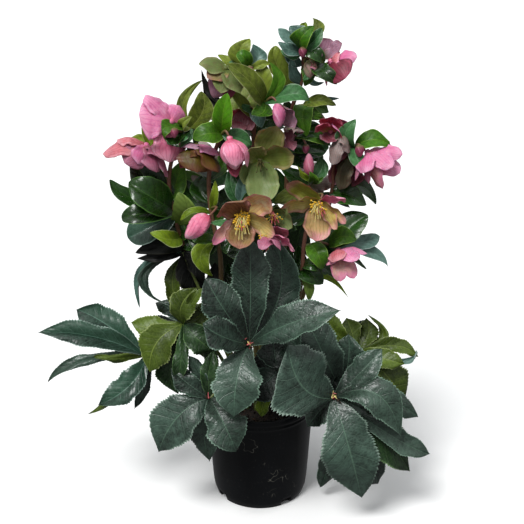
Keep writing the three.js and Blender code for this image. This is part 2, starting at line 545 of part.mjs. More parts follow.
const blooms = [
  { name: 'bloom_open_front', at: [-20, 366, 58], look: [-0.05, -0.95, -0.25], paint: 'blush', stamens: true,
    sepals: [[[-39, 385, 78], 46], [[14, 391, 74], 40], [[20, 341, 80], 32], [[-15, 323, 82], 44],
      [[-56, 330, 82], 24]] },
  { name: 'bloom_open_right', at: [69, 386, 33], look: [0.35, -0.7, -0.6], paint: 'blush', stamens: true,
    sepals: [[[60, 335, 64], 42], [[26, 374, 52], 36], [[36, 403, 50], 36], [[98, 382, 48], 24],
      [[97, 354, 54], 32]] },
  { name: 'bloom_open_green', at: [0, 436, 34], look: [0.05, -0.97, -0.1], paint: 'green', stamens: true,
    sepals: [[[17, 471, 44], 44], [[40, 441, 56], 40], [[7, 387, 60], 44], [[-17, 414, 46], 30],
      [[-16, 458, 42], 30]] },
  { name: 'bloom_small_front', at: [12, 345, 60], look: [0.1, -0.7, -0.7], paint: 'rose',
    sepals: [[[33, 351, 72], 28], [[13, 316, 84], 26], [[41, 322, 72], 22], [[-7, 336, 76], 24]] },
  { name: 'bloom_small_green', at: [14, 375, 46], look: [0.2, -0.8, -0.5], paint: 'green',
    sepals: [[[38, 353, 58], 24], [[30, 372, 52], 18], [[8, 358, 58], 18]] },
  { name: 'bloom_left_big', at: [-99, 481, 16], look: [-0.8, -0.5, -0.2], paint: 'pink',
    sepals: [[[-126, 510, 8], 36], [[-92, 503, -2], 34], [[-136, 488, 28], 40], [[-124, 455, 34], 36],
      [[-104, 435, 24], 42]] },
  { name: 'bloom_left_low', at: [-128, 453, 6], look: [-0.8, -0.35, -0.45], paint: 'pink',
    sepals: [[[-158, 461, 0], 30], [[-178, 443, 12], 28], [[-150, 432, 24], 34], [[-120, 423, 28], 34],
      [[-165, 439, -8], 26]] },
  { name: 'bloom_left_cup', at: [-72, 453, 14], look: [-0.1, -0.65, -0.75], paint: 'green',
    sepals: [[[-94, 445, 26], 36], [[-42, 441, 34], 32], [[-73, 420, 42], 34], [[-49, 420, 44], 36]] },
  { name: 'bloom_half_open', at: [-34, 461, 36], look: [0.12, -0.4, -0.9], paint: 'pink', belly: 0.24,
    sepals: [[[-33, 416, 50], 34], [[-13, 434, 50], 34], [[-44, 434, 46], 32], [[-23, 422, 60], 34]] },
  { name: 'bloom_right_low', at: [92, 324, 26], look: [0.45, -0.75, -0.5], paint: 'pink',
    sepals: [[[79, 302, 44], 32], [[128, 320, 38], 28], [[117, 287, 56], 30], [[95, 279, 62], 32],
      [[97, 332, 50], 28]] },
  { name: 'bloom_right_big', at: [122, 445, 11], look: [0.72, -0.5, -0.48], paint: 'pink',
    sepals: [[[163, 447, 20], 30], [[161, 420, 28], 40], [[139, 401, 42], 36], [[108, 411, 34], 26],
      [[147, 436, 54], 36]] },
  { name: 'bloom_top_right', at: [78, 550, 10], look: [0.6, -0.5, -0.6], paint: 'rose',
    sepals: [[[108, 559, 12], 28], [[93, 564, -6], 24], [[90, 528, 32], 34], [[72, 526, 34], 18],
      [[105, 542, 26], 28]] },
  { name: 'bloom_top_mauve', at: [69, 553, 2], look: [0.35, -0.4, 0.85], paint: 'mauve', belly: 0.2,
    sepals: [[[62, 573, 14], 26], [[91, 572, 6], 28], [[76, 577, -10], 26]] },
  { name: 'bloom_right_red', at: [80, 470, 8], look: [-0.2, -0.85, -0.3], paint: 'rose',
    sepals: [[[80, 488, 22], 30], [[61, 474, 24], 25], [[90, 478, 20], 26], [[75, 459, 26], 24],
      [[89, 460, 22], 22]] },
  { name: 'bloom_red_cup', at: [-18, 495, -7], look: [0, -0.8, -0.55], paint: 'rose', belly: 0.22,
    sepals: [[[-31, 479, 10], 26], [[-18, 470, 18], 26], [[-6, 476, 10], 25]] },
  { name: 'bloom_mauve_upper', at: [93, 468, 12], look: [-0.2, -0.3, -0.93], paint: 'mauve', belly: 0.2,
    sepals: [[[83, 431, 29], 28], [[98, 440, 27], 26], [[88, 440, 7], 24]] },
  { name: 'bloom_mauve_lower', at: [104, 442, -5], look: [-0.3, -0.25, -0.92], paint: 'mauve', belly: 0.18,
    sepals: [[[91, 400, 6], 32], [[102, 404, -8], 30], [[84, 406, -12], 26]] },
  { name: 'bloom_old_olive', at: [-37, 542, 9], look: [-0.3, -0.65, -0.65], paint: 'green',
    sepals: [[[-67, 545, 12], 34], [[-59, 524, 26], 34], [[-35, 503, 32], 36], [[-21, 515, 16], 28],
      [[-48, 510, 6], 28]] },
  { name: 'bloom_grey_middle', at: [30, 472, 18], look: [0.5, -0.4, -0.75], paint: 'mauve', belly: 0.2,
    sepals: [[[50, 469, 22], 24], [[38, 447, 26], 24], [[30, 450, 12], 24]] },
  { name: 'bloom_back_left', at: [-60, 434, -52], look: [-0.4, 0.8, -0.4], paint: 'pink', whorl: 30 },
  { name: 'bloom_back', at: [-18, 500, -52], look: [-0.2, 0.85, -0.4], paint: 'green', whorl: 30 },
  { name: 'bloom_back_right', at: [56, 408, -56], look: [0.35, 0.85, -0.35], paint: 'pink', whorl: 30 },
];

const closedBuds = [
  { name: 'bud_left', from: [-58, 368, 51], to: [-87, 340, 60], width: 24, paint: 'pink' },
  { name: 'bud_middle', from: [20, 503, 20], to: [22, 475, 30], width: 18, paint: 'pink',
    wing: [[36, 471, 22], 15] },
  { name: 'bud_right', from: [57, 417, 8], to: [55, 444, 12], width: 17, paint: 'pink' },
  { name: 'bud_top', from: [55, 552, 8], to: [55, 531, 14], width: 16, paint: 'mauve' },
];

// Sepal tips for a bloom whose whorl is even: five round the way it looks, each of this length.
function evenTips(at, look, length) {
  const across = new THREE.Vector3(0, 0, 1).cross(look).normalize();
  const over = look.clone().cross(across);
  return Array.from({ length: 5 }, (_, i) => {
    const angle = (2 * Math.PI * i) / 5 + 0.4;
    return at.clone().addScaledVector(look, length * (0.4 + 0.06 * (i % 2)))
      .addScaledVector(across, length * 0.88 * Math.cos(angle))
      .addScaledVector(over, length * 0.88 * Math.sin(angle));
  });
}

// A sepal leaves the receptacle sideways and turns forward, so its back is round like a spoon's.
function sepal(at, look, tip, width, belly, grow) {
  const length = at.distanceTo(tip);
  const middle = at.clone().add(tip).multiplyScalar(0.5);
  const along = tip.clone().sub(at).normalize();
  const inward = at.clone().addScaledVector(look, 0.6 * length).sub(middle);
  inward.addScaledVector(along, -inward.dot(along)).normalize();
  const mid = middle.addScaledVector(inward, -belly * length);
  return blade({ base: at, mid, tip, width, face: inward, fold: 0.32, grow, kind: 'sepal' });
}

function bloomParts({ at, look, sepals, whorl, belly = 0.14, from, to, width, wing }) {
  if (from) return budParts(spot(from), spot(to), width, wing);
  const heart = spot(at);
  const way = new THREE.Vector3(...look).normalize();
  const tips = whorl
    ? evenTips(heart, way, whorl).map((tip) => [tip, 0.62 * whorl])
    : sepals.map(([tip, wide]) => [spot(tip), wide]);
  const blades = (grow) => tips.map(([tip, wide]) => sepal(heart, way, tip, wide, belly, grow));
  const core = (grow) => [ball(heart, receptacleRadius + grow)];
  return { core, blades };
}

function budParts(root, tip, width, wing) {
  const way = tip.clone().sub(root).normalize();
  const core = (grow) => {
    const [foot, nose] = [root.clone().addScaledVector(way, -grow), tip.clone().addScaledVector(way, grow)];
    return [egg(foot, nose, width + 2 * grow)];
  };
  const wings = wing ? [[spot(wing[0]), wing[1]]] : [];
  const blades = (grow) => wings.map(([end, wide]) => sepal(root, way, end, wide, 0.2, grow));
  return { core, blades };
}

// A tuft of stamens: a small cushion on the receptacle with a ring of filaments standing on it.
function stamenTuft({ at, look }) {
  const way = new THREE.Vector3(...look).normalize();
  const foot = spot(at).addScaledVector(way, receptacleRadius * 0.8);
  const across = new THREE.Vector3(0, 0, 1).cross(way).normalize();
  const over = way.clone().cross(across);
  const filaments = 5;
  const cushion = [foot, foot.clone().addScaledVector(way, 4.5)];
  const rods = [rod(cushion, { radius: 3, sides: 5, steps: 1 })];
  for (let i = 0; i < filaments; i += 1) {
    const angle = (2 * Math.PI * i) / filaments;
    const outward = across.clone().multiplyScalar(Math.cos(angle)).addScaledVector(over, Math.sin(angle));
    const end = foot.clone().addScaledVector(way, 11 + 2 * (i % 3)).addScaledVector(outward, 7.5 - (i % 2));
    const start = foot.clone().addScaledVector(way, 3.4).addScaledVector(outward, 1.6);
    rods.push(rod([start, end], { radius: 0.75, sides: 3, steps: 1 }));
  }
  return joined(rods);
}

// ---- Assembly -----------------------------------------------------------------------------

const group = new THREE.Group();

function addNode(name, solid, paint) {
  const { vertProperties, triVerts } = solid.getMesh();
  const geometry = new THREE.BufferGeometry();
  geometry.setAttribute('position', new THREE.BufferAttribute(vertProperties, 3));
  geometry.setIndex(new THREE.BufferAttribute(triVerts, 1));
  const mesh = new THREE.Mesh(geometry, new THREE.MeshStandardMaterial({ ...finish[paint], metalness: 0 }));
  mesh.name = name;
  group.add(mesh);
}

const pot = potSolid();
const plants = [
  ...stems.map((stem) => ({ name: stem.name, paint: 'stem', ...stemParts(stem) })),
  ...[...blooms, ...closedBuds].map((bloom) => ({ ...bloom, isBloom: true, ...bloomParts(bloom) })),
  ...basalLeaves.map((leaf) => ({
    name: leaf.name, paint: leaf.name.includes('olive') ? 'oliveLeaf' : 'leaf', ...leafParts(leaf) })),
];
for (const plant of plants) {
  plant.heart = joined(plant.core(0));
  plant.thickHeart = kept(joined(plant.core(clearance)));
}

// Stalks, stems and receptacles keep their place; blades give way to them and to the blades of
// the plants placed before. A bloom sits on its twig by a socket.
const placedBlades = [];
for (const plant of plants) {
  const hearts = plants.filter((other) => other !== plant).map((other) => other.thickHeart);
  const free = plant.blades(0).map((piece) => kept(cutBy(kept(piece), [...hearts, ...placedBlades])));
  const stemHearts = plants.filter((other) => other.paint === 'stem').map((other) => other.thickHeart);
  const heart = plant.isBloom ? cutBy(kept(plant.heart), stemHearts) : plant.heart;
  plant.solid = largestBody(joined([heart, ...free.map((item) => item.solid)]));
  placedBlades.push(...plant.blades(clearance).map(kept));
}

const thickHearts = plants.map((plant) => plant.thickHeart);
addNode('pot', pot, 'pot');
addNode('soil', largestBody(cutBy(kept(soilSolid()), thickHearts)), 'soil');
for (const plant of plants) addNode(plant.name, plant.solid, plant.paint);

const thickBlooms = plants.filter((plant) => plant.stamens)
  .map((plant) => ({ plant, cutters: [plant.thickHeart, ...plant.blades(clearance).map(kept)] }));
for (const { plant, cutters } of thickBlooms) {
  const others = plants.filter((other) => other !== plant).map((other) => kept(other.solid));
  const tuft = largestBody(cutBy(kept(stamenTuft(plant)), [...cutters, ...others]));
  addNode(plant.name.replace('bloom', 'stamens'), tuft, 'stamen');
}

export default group;
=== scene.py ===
import colorsys
import math
import bpy
import numpy as np
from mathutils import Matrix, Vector, noise


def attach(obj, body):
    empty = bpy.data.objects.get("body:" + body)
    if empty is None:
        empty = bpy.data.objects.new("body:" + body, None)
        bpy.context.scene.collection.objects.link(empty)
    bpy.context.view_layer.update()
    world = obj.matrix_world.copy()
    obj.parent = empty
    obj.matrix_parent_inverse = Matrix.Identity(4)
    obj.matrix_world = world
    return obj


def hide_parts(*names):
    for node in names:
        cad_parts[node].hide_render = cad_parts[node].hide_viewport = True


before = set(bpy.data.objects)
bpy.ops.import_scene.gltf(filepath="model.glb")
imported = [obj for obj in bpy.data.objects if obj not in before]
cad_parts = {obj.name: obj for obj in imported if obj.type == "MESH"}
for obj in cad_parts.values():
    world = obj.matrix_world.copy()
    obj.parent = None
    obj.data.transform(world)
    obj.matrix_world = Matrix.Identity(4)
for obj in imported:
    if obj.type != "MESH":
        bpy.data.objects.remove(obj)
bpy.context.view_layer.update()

mm = 0.001
dice = np.random.default_rng(11)
print("frame loaded:", len(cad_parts), "nodes")

# Every place is [across, up, out] in millimetres: across and up are read on the upright plane
# through the pot's axis, out is how far it stands in front of that plane towards the eye.
eye = {"across": 2.5, "distance": 1300.0, "height": 880.0, "pitch": 23.7, "lens": 82.8}


def spot(reading):
    across, up, out = reading
    share = out / eye["distance"]
    return np.array([across * (1 - share), -out, up + (eye["height"] - up) * share]) * mm


def unit(vectors):
    return vectors / np.maximum(np.linalg.norm(vectors, axis=-1, keepdims=True), 1e-12)


# colours and nodes

def tone(hexCode):
    parts = [int(hexCode[i:i + 2], 16) / 255 for i in (1, 3, 5)]
    return tuple(p / 12.92 if p < 0.04045 else ((p + 0.055) / 1.055) ** 2.4 for p in parts) + (1.0,)


def shifted(hexCode, lightness=1.0, saturation=1.0):
    h, l, s = colorsys.rgb_to_hls(*[int(hexCode[i:i + 2], 16) / 255 for i in (1, 3, 5)])
    r, g, b = colorsys.hls_to_rgb(h, min(1, l * lightness), min(1, s * saturation))
    return "#%02x%02x%02x" % (round(r * 255), round(g * 255), round(b * 255))


def addNode(tree, kind, inputs=None, **settings):
    made = tree.nodes.new("ShaderNode" + kind)
    for key, value in settings.items():
        setattr(made, key, value)
    for key, value in (inputs or {}).items():
        if isinstance(value, bpy.types.NodeSocket):
            tree.links.new(value, made.inputs[key])
        else:
            made.inputs[key].default_value = value
    return made


def calc(tree, operation, a, b=0.0, c=0.0):
    return addNode(tree, "Math", {0: a, 1: b, 2: c}, operation=operation).outputs[0]


def times(tree, a, b):
    return calc(tree, "MULTIPLY", a, b)


def plus(tree, a, b):
    return calc(tree, "ADD", a, b)


def less(tree, a, b):
    return calc(tree, "SUBTRACT", a, b)


def ease(tree, value, low, high):
    inputs = {"Value": value, "From Min": low, "From Max": high}
    return addNode(tree, "MapRange", inputs, interpolation_type="SMOOTHSTEP").outputs["Result"]


def thinLine(tree, distance, near, far):
    # full where the distance is below near, gone where it is past far
    return less(tree, 1.0, ease(tree, distance, near, far))


def mixed(tree, share, a, b):
    return addNode(tree, "Mix", {0: share, 6: a, 7: b}, data_type="RGBA").outputs[2]


def layered(tree, colour, *layers):
    # each layer is where it lies, how strong it is and its colour
    for share, strength, over in layers:
        colour = mixed(tree, times(tree, share, strength), colour, over)
    return colour


def onSurface(tree):
    return addNode(tree, "TexCoord").outputs["Object"]


def speckle(tree, scale, detail=2.0, roughness=0.5):
    inputs = {"Vector": onSurface(tree), "Scale": scale, "Detail": detail, "Roughness": roughness}
    return addNode(tree, "TexNoise", inputs).outputs[0]


def bumpInto(tree, shader, height, strength, distance):
    inputs = {"Height": height, "Strength": strength, "Distance": distance}
    tree.links.new(addNode(tree, "Bump", inputs).outputs["Normal"], shader.inputs["Normal"])


def newMaterial(name, roughness, **levels):
    material = bpy.data.materials.new(name)
    material.use_nodes = True
    shader = material.node_tree.nodes["Principled BSDF"]
    shader.inputs["Roughness"].default_value = roughness
    for key, value in levels.items():
        shader.inputs[key].default_value = value
    return material, material.node_tree, shader


def bladeReadings(tree):
    # along runs from root to tip, around from margin to margin, off from the midrib to either margin
    blade = addNode(tree, "SeparateXYZ", {0: addNode(tree, "UVMap", uv_map="blade").outputs[0]})
    along, around = blade.outputs["X"], blade.outputs["Y"]
    off = calc(tree, "ABSOLUTE", calc(tree, "MULTIPLY_ADD", around, 2.0, -1.0))
    tint = addNode(tree, "Attribute", attribute_name="tint").outputs["Fac"]
    return along, off, around, tint


# leaf finishes: the skin varies between deep and light (on basal leaves light partly paints sheen). mottle is
# how patchy it is, a share of painted light sets the midrib's two sides apart, foot is painted shade near the
# root, pillow how it swells in its net

def leafSkin(deep, light, vein, **own):
    usual = {"gloss": 0.4, "shine": 0.25, "veins": 6, "pillow": 0.2, "mottle": 0.75, "halves": 0.12,
             "foot": 0.3}
    return {**usual, "deep": deep, "light": light, "vein": vein, **own}


leafSkins = {
    "basal": leafSkin("#040b06", "#3e5547", "#5c7c66", shine=0.6, veins=9, pillow=0.8, foot=0.75,
                      mottle=0.85),
    "basalSoft": leafSkin("#0c1811", "#4b6456", "#66856f", shine=0.6, veins=9, pillow=0.8, foot=0.75,
                          mottle=0.85),
    "basalTeal": leafSkin("#051a10", "#315440", "#6c9480", gloss=0.34, shine=0.6, veins=9, mottle=0.4,
                          halves=0.5),
    "basalGreen": leafSkin("#0a1c0c", "#33522c", "#5f7f4c", gloss=0.42, shine=0.4, veins=9, pillow=0.7),
    "basalOlive": leafSkin("#1e2c08", "#5a7020", "#8ea04a", gloss=0.44, shine=0.35, veins=9, pillow=0.4,
                           mottle=0.45, halves=0.2),
    "dark": leafSkin("#071803", "#20460f", "#456c2a", gloss=0.28, shine=0.5),
    "green": leafSkin("#143306", "#477614", "#739438"),
    "bright": leafSkin("#1b4304", "#4c860c", "#7da332"),
    "teal": leafSkin("#153a18", "#487c48", "#7ba676", gloss=0.38),
    "grey": leafSkin("#223f36", "#64867a", "#86a094", gloss=0.36, shine=0.3),
    # the darkest basal skin: a darker copy of basal, painted shade for leaflets that lie in shadow
    "basalDark": leafSkin("#020503", "#18241d", "#33463c", gloss=0.5, shine=0.2, veins=9, pillow=0.8),
    "olive": leafSkin("#37430f", "#7d8e30", "#969c50", gloss=0.46),
    "lime": leafSkin("#3f560c", "#88a322", "#a8bc58", gloss=0.46),
    "withered": leafSkin("#060707", "#191b18", "#2c2b22", gloss=0.5, shine=0.2),
    "pale": leafSkin("#4c6424", "#768e40", "#4a6026", gloss=0.55, shine=0.2),
}
underside = {"gloss": 0.55, "lightness": 1.3, "saturation": 0.72}
leafVeins = {"slant": 1.5, "width": 0.05, "rib": 0.04}
leafScales = {"patches": 38.0, "flecks": 150.0, "net": 230.0, "dust": 520.0, "grain": 900.0, "sheen": 120.0}


def leafMaterial(name, skin, lightness, saturation):
    deep, light, vein = [tone(shifted(skin[key], lightness, saturation)) for key in ("deep", "light", "vein")]
    margin = tone(shifted(skin["vein"], 1.3 * lightness, 0.9 * saturation))
    material, tree, shader = newMaterial(name, skin["gloss"], **{"Specular IOR Level": skin["shine"]})
    along, off, around, tint = bladeReadings(tree)
    phase = less(tree, times(tree, along, float(skin["veins"])), times(tree, off, leafVeins["slant"]))
    fromVein = calc(tree, "PINGPONG", phase, 0.5)
    patches = ease(tree, speckle(tree, leafScales["patches"], 4.0, 0.6), 0.36, 0.64)
    flecks = ease(tree, speckle(tree, leafScales["flecks"], 4.0, 0.7), 0.36, 0.64)
    # lighter in the middle of each swell between side veins, darker beside the veins: painted shade of the
    # quilted surface
    between = ease(tree, fromVein, 0.0, 0.42)
    # one side of the midrib lighter than the other: painted light, as if a fold turned one side to the sun
    half = ease(tree, around, 0.48, 0.52)
    mottle, halves = skin["mottle"], skin["halves"]
    varied = -0.49 * mottle + 0.23 - 0.5 * halves
    # patches and the leaflet's tint set the tone between deep and light; on the basal leaves a light tone
    # partly paints the sky's sheen
    for part, share in ((patches, 0.42 * mottle), (tint, 0.6), (flecks, 0.34 * mottle),
                        (between, 0.22 * mottle), (half, halves)):
        varied = plus(tree, varied, times(tree, part, share))
    line = thinLine(tree, fromVein, 0.0, leafVeins["width"])
    rib = thinLine(tree, off, 0.4 * leafVeins["rib"], leafVeins["rib"])
    inputs = {"Vector": onSurface(tree), "Scale": leafScales["net"]}
    cells = addNode(tree, "TexVoronoi", inputs, feature="DISTANCE_TO_EDGE").outputs["Distance"]
    dust = times(tree, ease(tree, speckle(tree, leafScales["dust"], 2.0), 0.64, 0.72), patches)
    # darker towards the root by the skin's foot share: painted shade deep in the rosette
    colour = layered(tree, mixed(tree, varied, deep, light),
                     (ease(tree, along, 0.5, 0.0), skin["foot"], deep),
                     (thinLine(tree, cells, 0.0, 0.12), 0.12, vein), (line, 0.3, vein), (rib, 0.5, vein),
                     (ease(tree, off, 0.9, 0.99), 0.7, margin), (dust, 0.4, vein))
    tree.links.new(colour, shader.inputs["Base Color"])
    grain = times(tree, speckle(tree, leafScales["grain"], 3.0), 0.2)
    height = less(tree, grain, calc(tree, "MAXIMUM", line, rib))
    height = plus(tree, height, times(tree, ease(tree, cells, 0.0, 0.4), skin["pillow"]))
    bumpInto(tree, shader, height, 0.6, 0.5 * mm)
    rough = plus(tree, times(tree, speckle(tree, leafScales["sheen"], 2.0), 0.2), skin["gloss"] - 0.1)
    tree.links.new(rough, shader.inputs["Roughness"])
    return material


# sepal finishes: body over most of it, rim along the margin, heart at the root, vein in its
# streaks; In is an inner side and Out an outer one

petalSkins = {
    "pinkOut": ["#d4749c", "#e4a0bc", "#cf6f8e", "#bb4f86"],
    "pinkIn": ["#e492b2", "#f2bcd2", "#a63552", "#b44672"],
    "hotOut": ["#f088a8", "#f6adc2", "#cc5a72", "#b8426c"],
    "rosyOut": ["#a65a74", "#c4869c", "#8c5052", "#94425f"],
    "coralOut": ["#c4666e", "#dd97a0", "#9a4a4a", "#9c3d4c"],
    "duskIn": ["#a4606a", "#d09aa6", "#6a2430", "#7c3040"],
    "paleBud": ["#a3987c", "#c09c96", "#7c8448", "#8c6c60"],
    "roseIn": ["#a63444", "#c4687f", "#57121c", "#601726"],
    "duskOut": ["#8a3a54", "#a85c74", "#5f6a30", "#6c2440"],
    "creamPink": ["#d6a898", "#da86a2", "#b4a660", "#c0688a"],
    "brownIn": ["#8c6234", "#b87c74", "#5c5622", "#54281a"],
    "brownOut": ["#554810", "#6c4630", "#5c6a20", "#54281c"],
    "peachIn": ["#ecd084", "#e9a0a4", "#c8bc58", "#c88862"],
    "oliveOut": ["#747832", "#9c7264", "#747f32", "#735234"],
    "oliveIn": ["#92963c", "#b27874", "#787e28", "#74582e"],
    "creamIn": ["#ccbc64", "#d69098", "#858432", "#8a7432"],
    "greenIn": ["#6a7a30", "#9a8a64", "#66762a", "#5c6424"],
    "greenOut": ["#6f7f38", "#8d8660", "#66782e", "#586628"],
    "wineIn": ["#641c28", "#a24a60", "#4a1018", "#3c0c16"],
    "tawnyIn": ["#86743a", "#b07c74", "#6e7428", "#6c4a28"],
    "oldOut": ["#586a2e", "#84905c", "#54622a", "#5c5030"],
    "driedOut": ["#54503a", "#6f6654", "#4a5228", "#43342c"],
    "redIn": ["#b23a4a", "#cf6b84", "#8a8030", "#701d2e"],
    "redOut": ["#b04658", "#cc7088", "#7d2a38", "#701d2e"],
    "whiteIn": ["#6d7e46", "#8c9668", "#6d8040", "#62743a"],
    "mauveOut": ["#a27a8c", "#bd93a6", "#7a744c", "#74485c"],
    "mauveIn": ["#7d3d49", "#a5727e", "#532029", "#522431"],
    "greyOut": ["#87756f", "#9d8c88", "#68703f", "#5c4848"],
}
petalScales = {"wander": 55.0, "blush": 110.0, "pale": 75.0, "grain": 500.0, "streaks": 8.0}


def petalMaterial(name, skin):
    body, rim, heart, vein = [tone(code) for code in skin]
    darker, paler = tone(shifted(skin[0], 0.86)), tone(shifted(skin[0], 1.22))
    material, tree, shader = newMaterial(name, 0.46, **{"Specular IOR Level": 0.25})
    along, off, around, tint = bladeReadings(tree)
    wander = speckle(tree, petalScales["wander"], 3.0, 0.6)
    edge = calc(tree, "MAXIMUM", off, less(tree, along, 0.03))
    edge = plus(tree, edge, times(tree, less(tree, wander, 0.5), 0.5))
    streak = plus(tree, times(tree, around, petalScales["streaks"]), times(tree, wander, 2.2))
    line = thinLine(tree, calc(tree, "PINGPONG", streak, 0.5), 0.0, 0.2)
    blush = ease(tree, speckle(tree, petalScales["blush"], 4.0, 0.65), 0.48, 0.68)
    pale = ease(tree, speckle(tree, petalScales["pale"], 4.0, 0.6), 0.54, 0.72)
    colour = layered(tree, body, (ease(tree, wander, 0.35, 0.7), 0.5, darker), (tint, 0.35, rim),
                     (ease(tree, edge, 0.62, 0.98), 1.0, rim), (ease(tree, along, 0.42, 0.0), 1.0, heart),
                     (line, 0.45, vein), (blush, 0.5, vein), (pale, 0.45, paler),
                     (ease(tree, off, 0.9, 1.0), 0.7, vein))
    tree.links.new(colour, shader.inputs["Base Color"])
    height = less(tree, times(tree, speckle(tree, petalScales["grain"], 3.0), 0.5), line)
    bumpInto(tree, shader, height, 0.3, 0.35 * mm)
    shader.inputs["Subsurface Weight"].default_value = 0.2
    shader.inputs["Subsurface Radius"].default_value = (1.0, 0.4, 0.35)
    shader.inputs["Subsurface Scale"].default_value = 1.2 * mm
    return material


# stalks, stamens, pot and soil finishes

def stemMaterial(name, low, high, speckles):
    material, tree, shader = newMaterial(name, 0.48)
    along, _, _, tint = bladeReadings(tree)
    climb = ease(tree, plus(tree, along, times(tree, speckle(tree, 30.0, 3.0), 0.5)), 0.3, 1.1)
    spots = ease(tree, speckle(tree, 700.0, 2.0), 0.56, 0.66)
    colour = layered(tree, mixed(tree, climb, tone(low), tone(high)),
                     (tint, 0.5, tone(high)), (spots, 0.55, tone(speckles)))
    tree.links.new(colour, shader.inputs["Base Color"])
    bumpInto(tree, shader, speckle(tree, 420.0, 3.0), 0.3, 0.4 * mm)
    return material


def grainMaterial(name, dark, light, scale, roughness, depth):
    material, tree, shader = newMaterial(name, roughness)
    grain = speckle(tree, scale, 5.0, 0.6)
    colour = mixed(tree, ease(tree, grain, 0.38, 0.66), tone(dark), tone(light))
    tree.links.new(colour, shader.inputs["Base Color"])
    bumpInto(tree, shader, grain, 0.6, depth)
    return material


potFinish = {"deep": "#090a0c", "light": "#121417", "dust": "#55544e", "film": "#3c3a36", "hair": "#8d8b80"}


def potMaterial():
    material, tree, shader = newMaterial("potPlastic", 0.5, **{"Specular IOR Level": 0.2})
    cloud = speckle(tree, 14.0, 4.0, 0.6)
    dust = times(tree, ease(tree, speckle(tree, 620.0, 2.0), 0.66, 0.74), cloud)
    film = ease(tree, speckle(tree, 42.0, 5.0, 0.7), 0.55, 0.8)
    # root hairs dried onto the wall follow one level of a coarse noise, here and there
    level = calc(tree, "ABSOLUTE", less(tree, speckle(tree, 70.0, 1.0), 0.5))
    hair = times(tree, ease(tree, level, 0.009, 0.003), ease(tree, speckle(tree, 21.0, 1.0), 0.63, 0.68))
    deep, light, *over = [tone(code) for code in potFinish.values()]
    colour = layered(tree, mixed(tree, ease(tree, cloud, 0.3, 0.75), deep, light),
                     (dust, 0.8, over[0]), (film, 0.14, over[1]), (hair, 0.6, over[2]))
    tree.links.new(colour, shader.inputs["Base Color"])
    tree.links.new(plus(tree, times(tree, film, 0.25), 0.36), shader.inputs["Roughness"])
    bumpInto(tree, shader, speckle(tree, 1100.0, 2.0), 0.25, 0.15 * mm)
    return material


# finish: name, dark, light, scale of the grain, roughness and depth of the bump in millimetres
grainSkins = {
    "filament": ["filament", "#d3bf62", "#ece0a0", 900.0, 0.5, 0.1],
    "anther": ["anther", "#d09a18", "#fbd03c", 2500.0, 0.7, 0.2],
    "pistil": ["pistil", "#9a2f40", "#c8706c", 800.0, 0.45, 0.1],
    "faded": ["fadedStamen", "#2c2a12", "#5c5626", 800.0, 0.6, 0.1],
    "soil": ["pottingSoil", "#0d0906", "#2b1e14", 240.0, 0.95, 1.5],
    "bark": ["barkCrumb", "#1c120b", "#4a3422", 500.0, 0.9, 0.8],
}
materials = {"stem": stemMaterial("floweringStem", "#5a682a", "#7a5040", "#612a2c"),
             "stalk": stemMaterial("leafStalk", "#4d5c2a", "#5c6b33", "#5a2f2a"), "pot": potMaterial()}
for skinName, skin in leafSkins.items():
    materials[skinName] = leafMaterial(skinName + "Leaf", skin, 1.0, 1.0)
    dull = {**skin, "gloss": underside["gloss"]}
    materials[skinName + "Under"] = leafMaterial(skinName + "LeafUnder", dull, underside["lightness"],
                                                 underside["saturation"])
for skinName, skin in petalSkins.items():
    materials[skinName] = petalMaterial(skinName + "Sepal", skin)
for skinName, (*finish, depth) in grainSkins.items():
    materials[skinName] = grainMaterial(*finish, depth * mm)
print("materials made:", len(materials))


# meshes in the making

def newForm():
    return {"points": [], "faces": [], "blade": [], "skin": [], "tint": [], "size": 0, "skins": []}


def skinIndex(form, skinName):
    if skinName not in form["skins"]:
        form["skins"].append(skinName)
    return form["skins"].index(skinName)


def addPatch(form, points, faces, skins, blade=None, tint=0.5):
    # skins is one name for the whole patch, or a name for each face
    names = [skins] * len(faces) if isinstance(skins, str) else skins
    form["points"].append(points)
    form["faces"] += [[i + form["size"] for i in face] for face in faces]
    form["blade"].append(np.zeros((len(points), 2)) if blade is None else blade)
    form["skin"] += [skinIndex(form, skinName) for skinName in names]
    form["tint"].append(np.full(len(points), tint))
    form["size"] += len(points)


def gridFaces(rows, cols, closed=False):
    faces = []
    for r in range(rows - 1):
        for c in range(cols if closed else cols - 1):
            beside = (c + 1) % cols
            faces.append([r * cols + c, r * cols + beside, (r + 1) * cols + beside, (r + 1) * cols + c])
    return faces


def ringFaces(rows, sides):
    # the wall through a row of rings, with a face over either end
    last = (rows - 1) * sides
    ends = [list(range(sides))[::-1], [last + i for i in range(sides)]]
    return gridFaces(rows, sides, closed=True) + ends


def turnedPoints(profile, sides):
    # a profile of radius and height in millimetres, where a height may be a function of the place
    angle = np.arange(sides) * 2 * math.pi / sides
    rings = []
    for radius, level in profile:
        flat = np.stack([radius * mm * np.cos(angle), radius * mm * np.sin(angle)], 1)
        heights = [level(x, y) if callable(level) else level * mm for x, y in flat]
        rings.append(np.column_stack([flat, heights]))
    return np.concatenate(rings)


